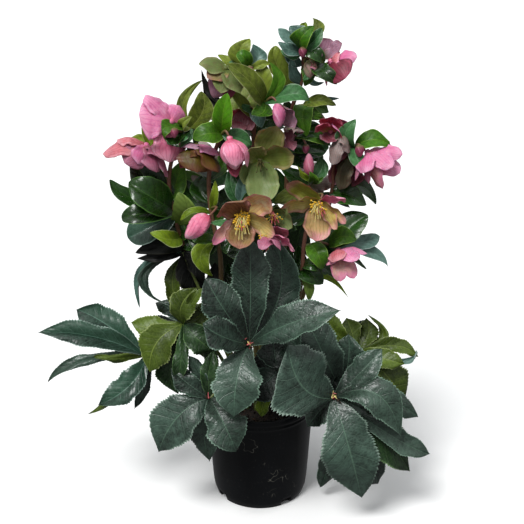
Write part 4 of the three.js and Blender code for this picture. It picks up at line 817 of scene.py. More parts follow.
stems = {
    "stem_left_tall": {
        "root": [-12, -3], "path": [[-26, 200, 6], [-44, 262, 14], [-47, 320, 18], [-57, 378, 20],
                                    [-57, 425, 20], [-44, 466, 22], [-37, 505, 8], [-36, 538, 8]],
        "twigs": [[[-44, 466, 22], [-38, 470, 32], [-34, 462, 36]],
                  [[-57, 430, 20], [-62, 452, 14], [-71, 453, 15]],
                  [[-57, 378, 20], [-50, 378, 38], [-58, 368, 50]]],
        "bracts": [
            [[-43, 467, 24], [-41, 490, 32], [-36, 514, 28], 23, "bright"],
            [[-45, 466, 24], [-58, 467, 40], [-75, 461, 38], 28, "green"],
            [[-42, 466, 22], [-22, 461, 24], [-9, 454, 18], 20, "teal"],
            [[-44, 462, 22], [-42, 457, 16], [-41, 443, 12], 14, "dark"],
            [[-58, 385, 18], [-70, 402, 8], [-62, 420, 4], 22, "dark"],
            [[-54, 370, 22], [-76, 374, 36], [-92, 362, 36], 10, "lime"],
            [[-49, 334, 22], [-60, 338, 48], [-76, 334, 50], 15, "green"],
            [[-50, 340, 20], [-70, 317, 42], [-56, 291, 38], 22, "lime"],
            [[-54, 372, 22], [-52, 392, 30], [-51, 411, 28], 10, "lime"],
            [[-57, 378, 20], [-74, 387, 0], [-86, 412, -10], 32, "dark"],
            [[-48, 334, 20], [-44, 329, 12], [-31, 340, 8], 22, "dark"],
            [[-50, 345, 18], [-70, 337, 6], [-86, 348, 0], 28, "dark"],
            [[-45, 280, 16], [-54, 286, 8], [-53, 309, 4], 24, "withered"],
            [[-53, 421, 0], [-66, 438, -6], [-83, 458, -10], 26, "dark"],
            [[-50, 418, 0], [-42, 430, -4], [-45, 455, -8], 16, "green"],
            [[-56, 360, 20], [-47, 368, 14], [-52, 382, 12], 14, "green"],
            [[-57, 378, 20], [-42, 385, 0], [-30, 408, -10], 28, "dark"],
            [[-57, 410, 20], [-50, 412, 2], [-38, 424, -8], 24, "teal"],
            [[-50, 345, 18], [-70, 348, 6], [-90, 369, 4], 30, "dark"],
            [[-49, 335, 18], [-66, 324, 8], [-84, 308, 6], 28, "dark"],
            [[-40, 490, 10], [-54, 500, 0], [-63, 528, -4], 9, "withered"],
            [[-42, 476, 16], [-51, 497, 2], [-55, 515, -4], 22, "withered"],
            [[-36, 500, 8], [-55, 514, -2], [-64, 540, -6], 9, "withered"]]},
    "stem_left": {
        "root": [-17, 6], "path": [[-48, 220, -6], [-84, 310, -8], [-99, 370, 2], [-104, 405, 6],
                                   [-100, 435, 6], [-84, 466, 8], [-78, 474, 8]],
        "twigs": [[[-86, 464, 8], [-91, 478, 8], [-98, 481, 14]],
                  [[-104, 408, 6], [-114, 442, 0], [-127, 453, 5]],
                  [[-84, 466, 8], [-90, 470, 20], [-96, 470, 34]]],
        "buds": [[[-96, 469, 36], 5]],
        "bracts": [
            [[-77, 474, 9], [-63, 495, 15], [-64, 516, 12], 27, "olive"],
            [[-80, 474, 6], [-85, 505, -3], [-63, 529, -6], 13, "olive"],
            [[-80, 472, 10], [-106, 474, 28], [-106, 460, 30], 18, "green"],
            [[-79, 474, 10], [-87, 478, 22], [-76, 487, 22], 13, "olive"],
            [[-80, 472, 10], [-99, 457, 32], [-90, 453, 34], 17, "dark"],
            [[-120, 450, 2], [-127, 464, -2], [-131, 480, -4], 11, "lime"],
            [[-120, 450, 2], [-136, 460, -4], [-151, 459, -4], 12, "lime"],
            [[-103, 372, 6], [-128, 393, 28], [-150, 409, 20], 42, "dark"],
            [[-104, 380, 4], [-127, 410, -2], [-146, 436, -10], 40, "dark"],
            [[-102, 370, 6], [-151, 391, 4], [-172, 412, 2], 20, "dark"],
            [[-102, 370, 8], [-138, 370, 34], [-160, 364, 26], 28, "dark"],
            [[-100, 366, 4], [-134, 350, 10], [-154, 340, 10], 40, "basalTeal"],
            [[-88, 336, 6], [-107, 338, 34], [-128, 346, 38], 23, "lime"],
            [[-103, 355, 5], [-84, 376, 20], [-92, 397, 18], 33, "pale"],
            [[-98, 337, 3], [-86, 353, -4], [-70, 358, -6], 28, "dark"],
            [[-98, 337, 3], [-105, 351, -4], [-116, 361, -6], 24, "dark"],
            [[-96, 325, 2], [-83, 334, -6], [-68, 335, -8], 22, "dark"],
            [[-94, 322, 1], [-82, 314, -2], [-71, 302, -4], 24, "withered"],
            [[-90, 326, -2], [-112, 330, 14], [-146, 321, 12], 23, "withered"],
            [[-88, 322, -4], [-114, 316, 16], [-144, 314, 14], 14, "withered"],
            [[-103, 388, 4], [-96, 408, -8], [-86, 436, -12], 26, "green"],
            [[-80, 470, 10], [-88, 462, 22], [-100, 456, 24], 12, "teal"],
            [[-80, 472, 10], [-79, 464, 12], [-66, 471, 12], 18, "dark"],
            [[-75, 474, 10], [-84, 462, 16], [-93, 449, 18], 15, "teal"],
            [[-75, 471, 8], [-71, 463, 10], [-74, 453, 12], 12, "dark"]]},
    "stem_middle": {
        "root": [-2, 5], "path": [[-8, 250, -16], [-10, 380, -20], [-7, 460, -14], [-4, 490, -4],
                                  [5, 503, 8], [0, 522, 2], [-13, 541, 2]],
        "twigs": [[[6, 503, 8], [14, 509, 16], [20, 503, 20]],
                  [[-7, 458, -14], [-14, 486, -16], [-18, 494, -8]],
                  [[-13, 541, 2], [-12, 543, 12], [-11, 541, 18]]],
        "buds": [[[-11, 541, 19], 4.2]],
        "bracts": [
            [[-13, 541, 2], [-22, 561, 2], [-11, 575, -4], 25, "olive"],
            [[-12, 541, 0], [-1, 556, -8], [-7, 569, -12], 21, "grey"],
            [[-13, 540, 4], [-17, 553, 16], [-25, 559, 12], 20, "bright"],
            [[-11, 540, 2], [0, 546, 8], [11, 547, 6], 11, "olive"],
            [[3, 502, 8], [-10, 526, 30], [-36, 547, 32], 26, "olive"],
            [[5, 502, 10], [4, 492, 24], [-9, 489, 30], 22, "green"],
            [[7, 503, 8], [38, 513, 22], [55, 506, 20], 22, "teal"],
            [[7, 503, 8], [21, 528, 16], [11, 549, 12], 15, "green"],
            [[4, 504, 6], [4, 527, 10], [2, 549, 4], 24, "olive"],
            [[-6, 486, -6], [-20, 502, 0], [-32, 521, -2], 14, "olive"],
            [[-14, 541, 2], [-24, 547, 4], [-34, 549, 2], 10, "teal"],
            [[-5, 488, -4], [-14, 496, 2], [-22, 500, 0], 9, "teal"],
            [[-2, 448, -14], [-16, 450, -18], [-32, 443, -20], 22, "dark"],
            [[-2, 469, -14], [-15, 471, -18], [-33, 476, -20], 22, "dark"],
            [[2, 495, -8], [-2, 487, 6], [2, 474, 10], 18, "grey"],
            [[-6, 464, -14], [6, 474, -16], [28, 474, -14], 20, "dark"],
            [[-13, 541, 2], [-30, 548, 0], [-46, 557, -2], 15, "olive"]]},
    "stem_right_tall": {
        "root": [8, 3], "path": [[24, 240, -14], [30, 380, -20], [32, 460, -18], [37, 500, -10],
                                 [45, 522, -6], [48, 546, -2], [47, 562, 2]],
        "twigs": [[[48, 552, 0], [60, 552, -4], [68, 553, 0]], [[47, 542, -2], [62, 543, 2], [77, 549, 8]],
                  [[48, 548, -2], [52, 555, 4], [55, 552, 8]],
                  [[37, 498, -10], [52, 500, -8], [68, 490, -2], [79, 472, 6]],
                  [[33, 478, -14], [28, 482, 4], [30, 473, 16]],
                  [[47, 562, 2], [47, 564, 12], [47, 562, 20]],
                  [[33, 468, -16], [46, 466, 2], [52, 455, 10]]],
        "buds": [[[47, 561, 21], 5], [[52, 450, 11], 4.6]],
        "bracts": [
            [[47, 562, 4], [45, 575, 20], [59, 589, 14], 22, "bright"],
            [[49, 562, 0], [64, 587, -10], [56, 598, -16], 14, "olive"],
            [[46, 562, 0], [42, 581, -8], [33, 589, -12], 20, "grey"],
            [[45, 561, 2], [31, 575, 4], [20, 586, 0], 15, "grey"],
            [[45, 558, 2], [31, 563, 12], [20, 571, 10], 15, "grey"],
            [[47, 562, 6], [60, 573, 14], [68, 586, 10], 18, "teal"],
            [[46, 563, -4], [47, 585, -14], [49, 593, -16], 10, "lime"],
            [[48, 560, 4], [60, 559, 20], [71, 548, 18], 17, "dark"],
            [[45, 524, -6], [36, 538, 4], [34, 552, 6], 15, "grey"],
            [[42, 512, -8], [18, 548, 0], [17, 567, -6], 23, "olive"],
            [[60, 544, 3], [71, 538, 30], [85, 524, 30], 20, "dark"],
            [[48, 499, -8], [67, 505, 4], [85, 500, 2], 15, "olive"],
            [[52, 499, -8], [52, 492, 4], [71, 484, 4], 23, "green"],
            [[56, 498, -7], [48, 490, 10], [53, 464, 14], 23, "green"],
            [[33, 464, -17], [54, 468, 2], [80, 453, 6], 23, "green"],
            [[47, 562, -1], [48, 580, -16], [49, 593, -20], 8, "olive"],
            [[58, 544, 2], [54, 534, 12], [48, 529, 12], 8, "teal"],
            [[52, 499, -8], [70, 506, -14], [88, 508, -16], 7, "grey"],
            [[50, 545, 0], [60, 542, 0], [78, 530, 0], 22, "dark"],
            [[48, 541, -2], [54, 534, 8], [50, 522, 6], 15, "green"],
            [[46, 560, 0], [34, 557, 4], [23, 562, 0], 15, "teal"],
            [[46, 548, -4], [35, 552, 0], [28, 574, -6], 15, "grey"],
            [[33, 462, -18], [50, 472, -2], [80, 462, 4], 26, "dark"],
            [[33, 455, -18], [46, 454, -8], [74, 446, -6], 26, "dark"],
            [[33, 440, -18], [44, 438, -12], [58, 424, -10], 26, "dark"],
            [[41, 436, -18], [59, 441, -16], [72, 437, -16], 18, "dark"],
            [[31, 385, -20], [28, 392, -24], [18, 426, -26], 30, "dark"],
            [[31, 385, -20], [37, 392, -22], [38, 421, -24], 24, "green"],
            [[30, 350, -19], [30, 348, -22], [20, 381, -24], 26, "dark"],
            [[52, 499, -8], [64, 498, -4], [77, 492, -6], 20, "green"],
            [[33, 470, -16], [32, 492, -14], [29, 506, -16], 16, "dark"],
            [[33, 462, -18], [64, 450, -14], [78, 450, -14], 24, "teal"],
            [[48, 546, -2], [57, 527, -4], [71, 526, -4], 9, "grey"]]},
    "stem_right": {
        "root": [17, 5], "path": [[36, 210, -14], [66, 320, -22], [83, 400, -14], [84, 432, -10],
                                  [96, 450, 0], [106, 452, 4]],
        "twigs": [[[106, 452, 4], [114, 451, 6], [121, 446, 9]],
                  [[95, 449, 0], [98, 466, -2], [93, 469, 6]],
                  [[96, 450, 0], [101, 448, -4], [104, 443, -6]],
                  [[106, 452, 4], [112, 454, 16], [113, 449, 24]]],
        "buds": [[[113, 448, 25], 6]],
        "bracts": [
            [[104, 451, 4], [96, 466, 16], [107, 484, 12], 22, "teal"],
            [[107, 452, 4], [128, 460, 10], [148, 453, 6], 23, "bright"],
            [[108, 452, 2], [130, 460, -12], [147, 457, -14], 12, "lime"],
            [[107, 450, 6], [110, 437, 24], [118, 425, 26], 17, "teal"],
            [[84, 402, -14], [117, 404, -14], [134, 382, -14], 22, "dark"],
            [[83, 396, -14], [99, 394, -2], [123, 381, 0], 30, "dark"]]},
    "stem_right_front": {
        "root": [14, -6], "path": [[30, 190, 10], [44, 250, 22], [50, 292, 24], [52, 335, 18],
                                   [60, 375, 12], [66, 394, 16]],
        "twigs": [[[66, 394, 16], [72, 394, 26], [70, 388, 31]],
                  [[52, 330, 20], [74, 334, 14], [91, 325, 23]],
                  [[60, 376, 12], [56, 396, 0], [57, 416, 8]]],
        "bracts": [
            [[65, 392, 16], [35, 393, 20], [17, 384, 24], 20, "olive"],
            [[57, 410, 6], [66, 410, 10], [73, 415, 12], 9, "green"],
            [[57, 408, 4], [70, 424, -6], [70, 440, -10], 19, "teal"],
            [[57, 406, 4], [62, 412, 18], [57, 422, 20], 12, "green"],
            [[57, 404, 4], [40, 416, -2], [24, 426, -4], 20, "dark"],
            [[50, 298, 25], [39, 299, 14], [33, 325, 8], 26, "dark"],
            [[60, 380, 12], [44, 368, 4], [26, 365, 2], 26, "dark"],
            [[60, 372, 12], [65, 360, 4], [77, 373, 0], 26, "green"],
            [[76, 333, 14], [80, 322, 4], [74, 307, 0], 22, "dark"],
            [[51, 300, 24], [47, 309, 10], [45, 331, 8], 20, "dark"],
            [[82, 331, 17], [106, 355, 4], [125, 369, 0], 36, "dark"],
            [[80, 332, 17], [96, 342, 24], [113, 338, 22], 23, "green"],
            [[84, 331, 17], [123, 335, 0], [140, 342, -6], 20, "grey"],
            [[86, 329, 18], [130, 322, 2], [151, 303, 2], 16, "grey"],
            [[60, 333, 18], [68, 320, 40], [74, 300, 38], 24, "green"],
            [[50, 300, 25], [60, 294, 34], [75, 281, 32], 26, "dark"],
            [[50, 298, 25], [58, 278, 34], [59, 258, 34], 13, "pale"],
            [[50, 302, 25], [61, 306, 40], [70, 298, 40], 16, "dark"],
            [[57, 410, 6], [49, 418, 14], [43, 428, 14], 7, "lime"],
            [[88, 327, 20], [112, 312, 4], [126, 300, 4], 7, "dark"],
            [[50, 298, 25], [80, 289, 16], [105, 264, 14], 7, "lime"],
            [[55, 345, 18], [74, 342, 4], [88, 354, 2], 24, "dark"],
            [[53, 322, 20], [68, 316, 8], [82, 330, 6], 26, "dark"],
            [[52, 304, 22], [64, 298, 12], [78, 294, 8], 20, "dark"],
            [[59, 309, 22], [73, 304, 12], [88, 289, 8], 20, "dark"]]},
    "stem_front": {
        "root": [3, -9], "path": [[-4, 190, 10], [-14, 260, 12], [-20, 330, 24], [-24, 368, 36],
                                  [-22, 386, 38]],
        "twigs": [[[-22, 386, 38], [-12, 412, 22], [-2, 434, 28]],
                  [[-24, 372, 37], [-24, 374, 50], [-20, 367, 56]],
                  [[-22, 345, 29], [0, 356, 42], [11, 346, 57]],
                  [[-22, 384, 38], [0, 386, 34], [13, 376, 44]]],
        "bracts": [
            [[-23, 384, 38], [-32, 402, 34], [-34, 425, 22], 17, "teal"],
            [[-22, 384, 38], [-20, 403, 36], [-17, 421, 26], 15, "grey"],
            [[-21, 382, 38], [-10, 392, 46], [0, 398, 40], 11, "dark"],
            [[-24, 366, 36], [-40, 358, 50], [-57, 359, 52], 12, "teal"],
            [[-18, 318, 20], [-26, 322, -2], [-40, 330, -12], 24, "dark"],
            [[-16, 275, 14], [-38, 283, 2], [-38, 309, -4], 24, "dark"]]},
    "stem_back_left": {
        "root": [-9, 13], "path": [[-30, 250, -44], [-52, 350, -54], [-58, 405, -48]],
        "twigs": [[[-58, 405, -48], [-58, 428, -40], [-60, 434, -50]]],
        "bracts": [
            *rosette([-57, 400, -50], 54, 34, 3),
            [[-40, 296, -49], [-46, 309, -42], [-56, 345, -38], 36, "dark"]]},
    "stem_back": {
        "root": [0, 16], "path": [[0, 260, -50], [-8, 400, -60], [-14, 474, -50]],
        "twigs": [[[-14, 474, -50], [-16, 494, -40], [-18, 500, -50]]],
        "bracts": [
            *rosette([-14, 470, -51], 46, 30, 3),
            [[-3, 318, -55], [5, 342, -46], [19, 382, -40], 36, "dark"]]},
    "stem_back_right": {
        "root": [9, 14], "path": [[26, 240, -46], [44, 330, -56], [52, 382, -52]],
        "twigs": [[[52, 382, -52], [55, 402, -44], [56, 408, -54]]],
        "bracts": [
            *rosette([50, 374, -54], 54, 34, 3),
            [[38, 318, -53], [43, 330, -44], [51, 374, -38], 36, "dark"],
            [[34, 292, -51], [48, 283, -44], [66, 317, -40], 34, "dark"]]},
}


def nearestOn(paths, place):
    along = np.concatenate(paths)
    return along[np.argmin(np.linalg.norm(along - place, axis=1))]


def makeStem(node, stem):
    form = newForm()
    x, y = stem["root"]
    foot = [np.array([x, y, pot["soilLevel"] + lift]) * mm for lift in (-12, 6)]
    trunk = curveThrough([*foot, *[spot(place) for place in stem["path"]]])
    radii = np.linspace(shoot["foot"], shoot["top"], len(trunk)) * mm
    addTube(form, trunk, radii, "stem", sides=12, ridge=0.03, tint=0.3)
    twigs = []
    for start, *rest in stem["twigs"]:
        fork = nearestOn([trunk], spot(start))
        twig = curveThrough([fork, *[spot(place) for place in rest]], 1.5 * mm)
        radii = np.linspace(shoot["twigFoot"], shoot["twigTop"], len(twig)) * mm
        addTube(form, twig, radii, "stem", sides=9, tint=0.1)
        twigs.append(twig)
    for place, radius in stem.get("buds", []):
        centre, drop = spot(place), np.array([0, -0.3, -1.0]) * radius * mm
        addEgg(form, centre - drop, centre + 1.3 * drop, 2 * radius * mm, "duskOut", sides=25, rows=12)
    face = facing(stem["path"][0][2])
    for root, mid, tip, width, skinName in stem["bracts"]:
        start = nearestOn([trunk, *twigs], spot(root))
        addBlade(form, start, spot(mid), spot(tip), width * mm, face, "bract", leafPair(skinName),
                 fold=shoot["bractFold"])
    finishPiece(camelName(node), form, node)


for node, stem in stems.items():
    makeStem(node, stem)
print("flowering stems made:", len(stems))

# blooms: at is the receptacle, look the way it faces, skins the inside and the outside. Each
# sepal is its tip, its width and, where it has its own, a pair of skins and a way to face. belly is
# how far sepals bulge, calm how little they ripple, core the folded heart of a half-open one,
# whorl the length of five even sepals

blooms = {
    "bloom_open_front": {"at": [-20, 366, 58], "look": [-0.05, -0.95, -0.25],
        "skins": ["oliveIn", "oliveOut"],
        "sepals": [[[-39, 384, 78], 34, ["brownIn", "oliveOut"]],
                   [[12, 390, 74], 27, ["peachIn", "oliveOut"]],
                   [[18, 345, 80], 24, ["creamIn", "oliveOut"]],
                   [[-24, 326, 82], 28, ["tawnyIn", "oliveOut"]],
                   [[-55, 332, 82], 13, ["creamPink", "pinkOut"]]]},
    "bloom_open_right": {"at": [69, 386, 33], "look": [0.12, -0.85, -0.5],
        "skins": ["oliveIn", "oliveOut"], "belly": 0.1,
        "sepals": [[[66, 336, 48], 30, ["creamIn", "oliveOut"]],
                   [[24, 377, 46], 22, ["creamIn", "oliveOut"]], [[31, 407, 44], 20],
                   [[99, 389, 50], 15, ["hotOut", "hotOut"]], [[100, 358, 46], 11, ["creamIn", "pinkOut"]],
                   [[90, 351, 50], 13, ["creamIn", "creamIn"]]]},
    "bloom_open_green": {"at": [0, 436, 34], "look": [0.05, -0.97, -0.1], "skins": ["greenIn", "greenOut"],
        "belly": 0.1,
        "sepals": [[[19, 476, 40], 28], [[39, 441, 54], 26], [[6, 384, 60], 32, ["whiteIn", "greenOut"]],
                   [[-19, 407, 46], 24, ["whiteIn", "greenOut"]], [[-11, 450, 48], 24]]},
    "bloom_small_front": {"at": [12, 345, 60], "look": [-0.3, -0.6, -0.7], "skins": ["duskIn", "rosyOut"],
        "stamens": {"look": [-0.75, -0.6, -0.3], "filaments": 26, "trailing": 3, "trail": 6, "anther": 1.0},
        "sepals": [[[33, 350, 68], 22], [[24, 325, 80], 20], [[41, 323, 74], 15, ["hotOut", "hotOut"]],
                   [[2, 325, 84], 14], [[9, 348, 60], 16]]},
    "bloom_small_green": {"at": [14, 375, 46], "look": [0.2, -0.8, -0.5], "skins": ["whiteIn", "greenOut"],
        "stamens": {"filaments": 16, "anther": 1.0},
        "sepals": [[[38, 353, 58], 24], [[30, 372, 52], 18], [[8, 358, 58], 18]]},
    "bloom_left_big": {"at": [-99, 481, 16], "look": [-0.6, 0.45, -0.65], "skins": ["pinkIn", "pinkOut"],
        "belly": 0.12,
        "sepals": [[[-127, 512, 8], 26], [[-89, 500, -2], 24], [[-135, 490, 26], 42],
                   [[-126, 466, 28], 30], [[-103, 433, 30], 40, ["pinkIn", "hotOut"]]]},
    "bloom_left_low": {"at": [-128, 453, 6], "look": [-0.75, 0.1, -0.65], "skins": ["pinkIn", "pinkOut"],
        "sepals": [[[-161, 460, 0], 24, ["pinkIn", "coralOut"]],
                   [[-178, 443, 10], 25, ["creamPink", "coralOut"]],
                   [[-154, 432, 22], 28, ["pinkIn", "rosyOut"]],
                   [[-118, 421, 28], 30, ["mauveIn", "rosyOut"]],
                   [[-111, 438, 20], 24, ["mauveIn", "rosyOut"]], [[-139, 431, 24], 24],
                   [[-105, 415, 14], 18, ["mauveIn", "rosyOut"]]]},
    "bloom_left_cup": {"at": [-72, 453, 14], "look": [-0.1, -0.45, -0.88], "skins": ["brownIn", "brownOut"],
        "sepals": [[[-88, 436, 26], 30], [[-46, 441, 34], 26, ["pinkIn", "pinkOut"]], [[-72, 421, 42], 36],
                   [[-48, 421, 44], 32], [[-85, 451, 28], 26, ["mauveIn", "mauveOut"]],
                   [[-91, 426, 20], 20, ["roseIn", "brownOut"]]]},
    "bloom_half_open": {"at": [-34, 461, 36], "look": [0.12, -0.4, -0.9], "skins": ["roseIn", "hotOut"],
        "belly": 0.3, "calm": 0.3, "core": [[-27, 424, 46], 26],
        "sepals": [[[-27, 415, 42], 17, ["roseIn", "roseIn"]], [[-14, 427, 50], 26], [[-38, 431, 50], 24],
                   [[-27, 428, 60], 22]]},
    "bloom_right_low": {"at": [92, 324, 26], "look": [0.35, -0.15, -0.92], "skins": ["pinkIn", "pinkOut"],
        "calm": 0.5,
        "sepals": [[[79, 305, 40], 20, ["roseIn", "hotOut"]],
                   [[126, 320, 38], 16, ["creamPink", "pinkOut"]],
                   [[112, 288, 56], 15, ["pinkIn", "creamPink"]],
                   [[96, 284, 56], 18, ["creamPink", "creamPink"]], [[114, 311, 62], 20],
                   [[92, 311, 60], 20, ["roseIn", "coralOut"]]]},
    "bloom_right_big": {"at": [122, 445, 11], "look": [0.72, -0.35, -0.6], "skins": ["pinkIn", "pinkOut"],
        "belly": 0.12,
        "sepals": [[[162, 443, 22], 20, ["pinkIn", "pinkOut"], [0.5, 0.35, -0.8]],
                   [[160, 420, 28], 24, ["pinkIn", "pinkOut"], [0.5, 0.2, -0.8]],
                   [[141, 401, 38], 24, ["creamPink", "creamPink"]],
                   [[109, 411, 30], 18, ["mauveIn", "rosyOut"]],
                   [[151, 427, 44], 20, ["pinkIn", "pinkOut"], [0.4, 0.1, -0.9]],
                   [[125, 407, 36], 20, ["creamPink", "rosyOut"]],
                   [[121, 421, 46], 20, ["pinkIn", "pinkOut"], [0.4, 0.1, -0.9]]]},
    "bloom_top_right": {"at": [78, 550, 10], "look": [0.6, -0.5, -0.6], "skins": ["roseIn", "hotOut"],
        "calm": 0.5,
        "sepals": [[[88, 558, 16], 20, ["roseIn", "coralOut"], [0.3, 0.4, -0.85]],
                   [[107, 555, 20], 20, ["roseIn", "pinkOut"], [0.5, 0.3, -0.8]],
                   [[95, 531, 40], 28, ["wineIn", "wineIn"]], [[82, 536, 26], 20, ["roseIn", "pinkOut"]],
                   [[74, 522, 20], 12, ["roseIn", "pinkOut"]]]},
    "bloom_top_mauve": {"at": [69, 553, 2], "look": [0.35, -0.4, 0.85], "skins": ["mauveOut", "mauveOut"],
        "belly": 0.12,
        "sepals": [[[62, 571, 14], 22], [[90, 570, 6], 18], [[77, 575, -8], 22]]},
    "bloom_right_red": {"at": [80, 470, 8], "look": [-0.2, -0.85, -0.3], "skins": ["redIn", "redOut"],
        "sepals": [[[81, 487, 20], 24], [[63, 475, 24], 16], [[100, 480, 14], 20, ["pinkOut", "pinkOut"]],
                   [[77, 456, 24], 18, ["mauveIn", "mauveOut"]], [[90, 469, 26], 18, ["redIn", "pinkOut"]]]},
    "bloom_red_cup": {"at": [-18, 495, -7], "look": [0, -0.8, -0.55], "skins": ["duskIn", "duskOut"],
        "belly": 0.2,
        "sepals": [[[-29, 481, -2], 24, ["redIn", "redOut"]], [[-19, 491, -8], 20, ["redOut", "redOut"]],
                   [[-5, 488, -4], 20, ["redIn", "redOut"]], [[-24, 469, 4], 18], [[-9, 471, 2], 16]]},
    "bloom_mauve_upper": {"at": [93, 468, 12], "look": [-0.2, -0.3, -0.93],
        "skins": ["mauveIn", "greyOut"], "belly": 0.12,
        "sepals": [[[83, 430, 29], 16], [[100, 444, 27], 16], [[93, 436, 12], 16]]},
    "bloom_mauve_lower": {"at": [104, 442, -5], "look": [-0.3, -0.25, -0.92],
        "skins": ["mauveIn", "driedOut"], "belly": 0.18,
        "sepals": [[[91, 400, 6], 32], [[102, 404, -8], 30], [[84, 406, -12], 26]]},
    "bloom_old_olive": {"at": [-37, 542, 9], "look": [-0.2, 0.55, -0.8], "skins": ["greenIn", "oldOut"],
        "belly": 0.08, "kind": "bract",
        "sepals": [[[-67, 547, 14], 20], [[-51, 508, 2], 22, ["mauveIn", "mauveOut"]],
                   [[-58, 531, 22], 22, ["brownIn", "oliveOut"]], [[-43, 514, 28], 24],
                   [[-22, 514, 30], 22], [[-33, 507, 8], 20, ["mauveIn", "duskOut"]]]},
    "bloom_grey_middle": {"at": [30, 472, 18], "look": [0.5, -0.4, -0.75], "skins": ["mauveIn", "greyOut"],
        "belly": 0.2,
        "sepals": [[[50, 469, 22], 24], [[38, 447, 26], 24], [[30, 450, 12], 24]]},
    "bloom_back_left": {"at": [-60, 434, -52], "look": [-0.4, 0.8, -0.4], "skins": ["pinkIn", "greyOut"],
        "whorl": 30},
    "bloom_back": {"at": [-18, 500, -52], "look": [-0.2, 0.85, -0.4], "skins": ["greenIn", "greenOut"],
        "whorl": 30},
    "bloom_back_right": {"at": [56, 408, -56], "look": [0.35, 0.85, -0.35], "skins": ["pinkIn", "greyOut"],
        "whorl": 30},
}
closedBuds = {
    "bud_left": {"from": [-58, 368, 51], "to": [-87, 340, 60], "width": 24, "skin": "hotOut"},
    "bud_middle": {"from": [20, 503, 20], "to": [22, 474, 30], "width": 16, "skin": "pinkOut",
                   "wing": [[37, 470, 22], 22, ["mauveOut", "mauveOut"]]},
    "bud_right": {"from": [57, 417, 8], "to": [55, 444, 12], "width": 13, "skin": "hotOut"},
    "bud_top": {"from": [55, 552, 8], "to": [55, 531, 14], "width": 16, "skin": "paleBud",
                "wing": [[63, 533, 16], 14, ["creamPink", "creamPink"]]},
}
receptacle = {"radius": 4.0, "half": 3.5}
# stamens: a ring of filaments with gold anthers round a few pistils, sizes in millimetres. trailing
# is how many hang down without an anther, trail how far they hang
tuft = {"shortest": 8.0, "longest": 14.0, "spread": 0.95, "turn": 2.4, "droop": 2.0, "trailExtra": 5.0,
        "filament": 0.28, "trailingFilament": 0.42, "pistils": 4, "pistilTurn": 1.6, "pistilFoot": 1.6,
        "pistilTip": 0.5}
tufts = {
    "stamens_open_front": {"bloom": "bloom_open_front", "look": [-0.02, -0.9, 0.3], "filaments": 76,
                           "trailing": 16, "trail": 19, "anther": 1.35},
    "stamens_open_right": {"bloom": "bloom_open_right", "look": [-0.4, -0.85, -0.15], "filaments": 38,
                           "trailing": 7, "trail": 12, "anther": 1.25},
    "stamens_open_green": {"bloom": "bloom_open_green", "filaments": 9, "anther": 0.8, "faded": True},
}


def addStamens(form, at, look, own):
    foot = at + look * 2.5 * mm
    ring = unit(np.array(own.get("look", look), float))
    across = unit(np.cross([0, 0, 1.0], ring))
    over = np.cross(ring, across)
    filament, anther, pistil = ["faded"] * 3 if own.get("faded") else ["filament", "anther", "pistil"]
    for i in range(own["filaments"]):
        angle = tuft["turn"] * i
        lean = tuft["spread"] * math.sqrt((i + 0.5) / own["filaments"]) + dice.uniform(-0.08, 0.08)
        outward = across * math.cos(angle) + over * math.sin(angle)
        length, droop = dice.uniform(tuft["shortest"], tuft["longest"]) * mm, tuft["droop"] * mm
        trails = i < own.get("trailing", 0)
        if trails:
            length, droop = length + tuft["trailExtra"] * mm, own["trail"] * mm * dice.uniform(0.6, 1.0)
            lean = 0.6 * lean + 0.25
        end = foot + (ring * math.cos(lean) + outward * math.sin(lean)) * length + np.array([0, 0, -droop])
        bend = foot + (ring * math.cos(0.6 * lean) + outward * math.sin(0.6 * lean)) * 0.6 * length
        path = curveThrough([foot, bend, end], 1.6 * mm)
        addTube(form, path, tuft["trailingFilament" if trails else "filament"] * mm, filament, sides=5)
        if not trails:
            way = unit(path[-1] - path[-2]) * 1.3 * mm
            addEgg(form, end - way, end + way, 2 * own["anther"] * mm, anther, laps=2, sides=8, rows=6)
    for i in range(tuft["pistils"]):
        angle = tuft["pistilTurn"] * i
        outward = across * math.cos(angle) + over * math.sin(angle)
        tip = foot + look * 16 * mm + outward * 4 * mm
        path = curveThrough([foot, foot + look * 7 * mm + outward * 2.4 * mm, tip], 1.2 * mm)
        radii = np.linspace(tuft["pistilFoot"], tuft["pistilTip"], len(path)) * mm
        addTube(form, path, radii, pistil, sides=8)


def evenTips(at, look, length):
    across = unit(np.cross([0, 0, 1.0], look))
    over = np.cross(look, across)
    tips = []
    for i in range(5):
        angle = 2 * math.pi * i / 5 + 0.4
        tips.append(at + look * length * (0.4 + 0.06 * (i % 2))
                    + length * 0.88 * (across * math.cos(angle) + over * math.sin(angle)))
    return tips


def addSepal(form, at, look, tip, width, belly, skins, calm=1.0, kind="sepal"):
    # it leaves the receptacle sideways and turns forward, so its back is round like a spoon's
    length = math.dist(at, tip)
    along = unit(tip - at)
    inward = at + look * 0.6 * length - (at + tip) / 2
    inward = unit(inward - along * np.dot(inward, along))
    mid = (at + tip) / 2 - inward * belly * length
    addBlade(form, at, mid, tip, 1.15 * width, inward, kind, skins, fold=0.12, calm=calm)


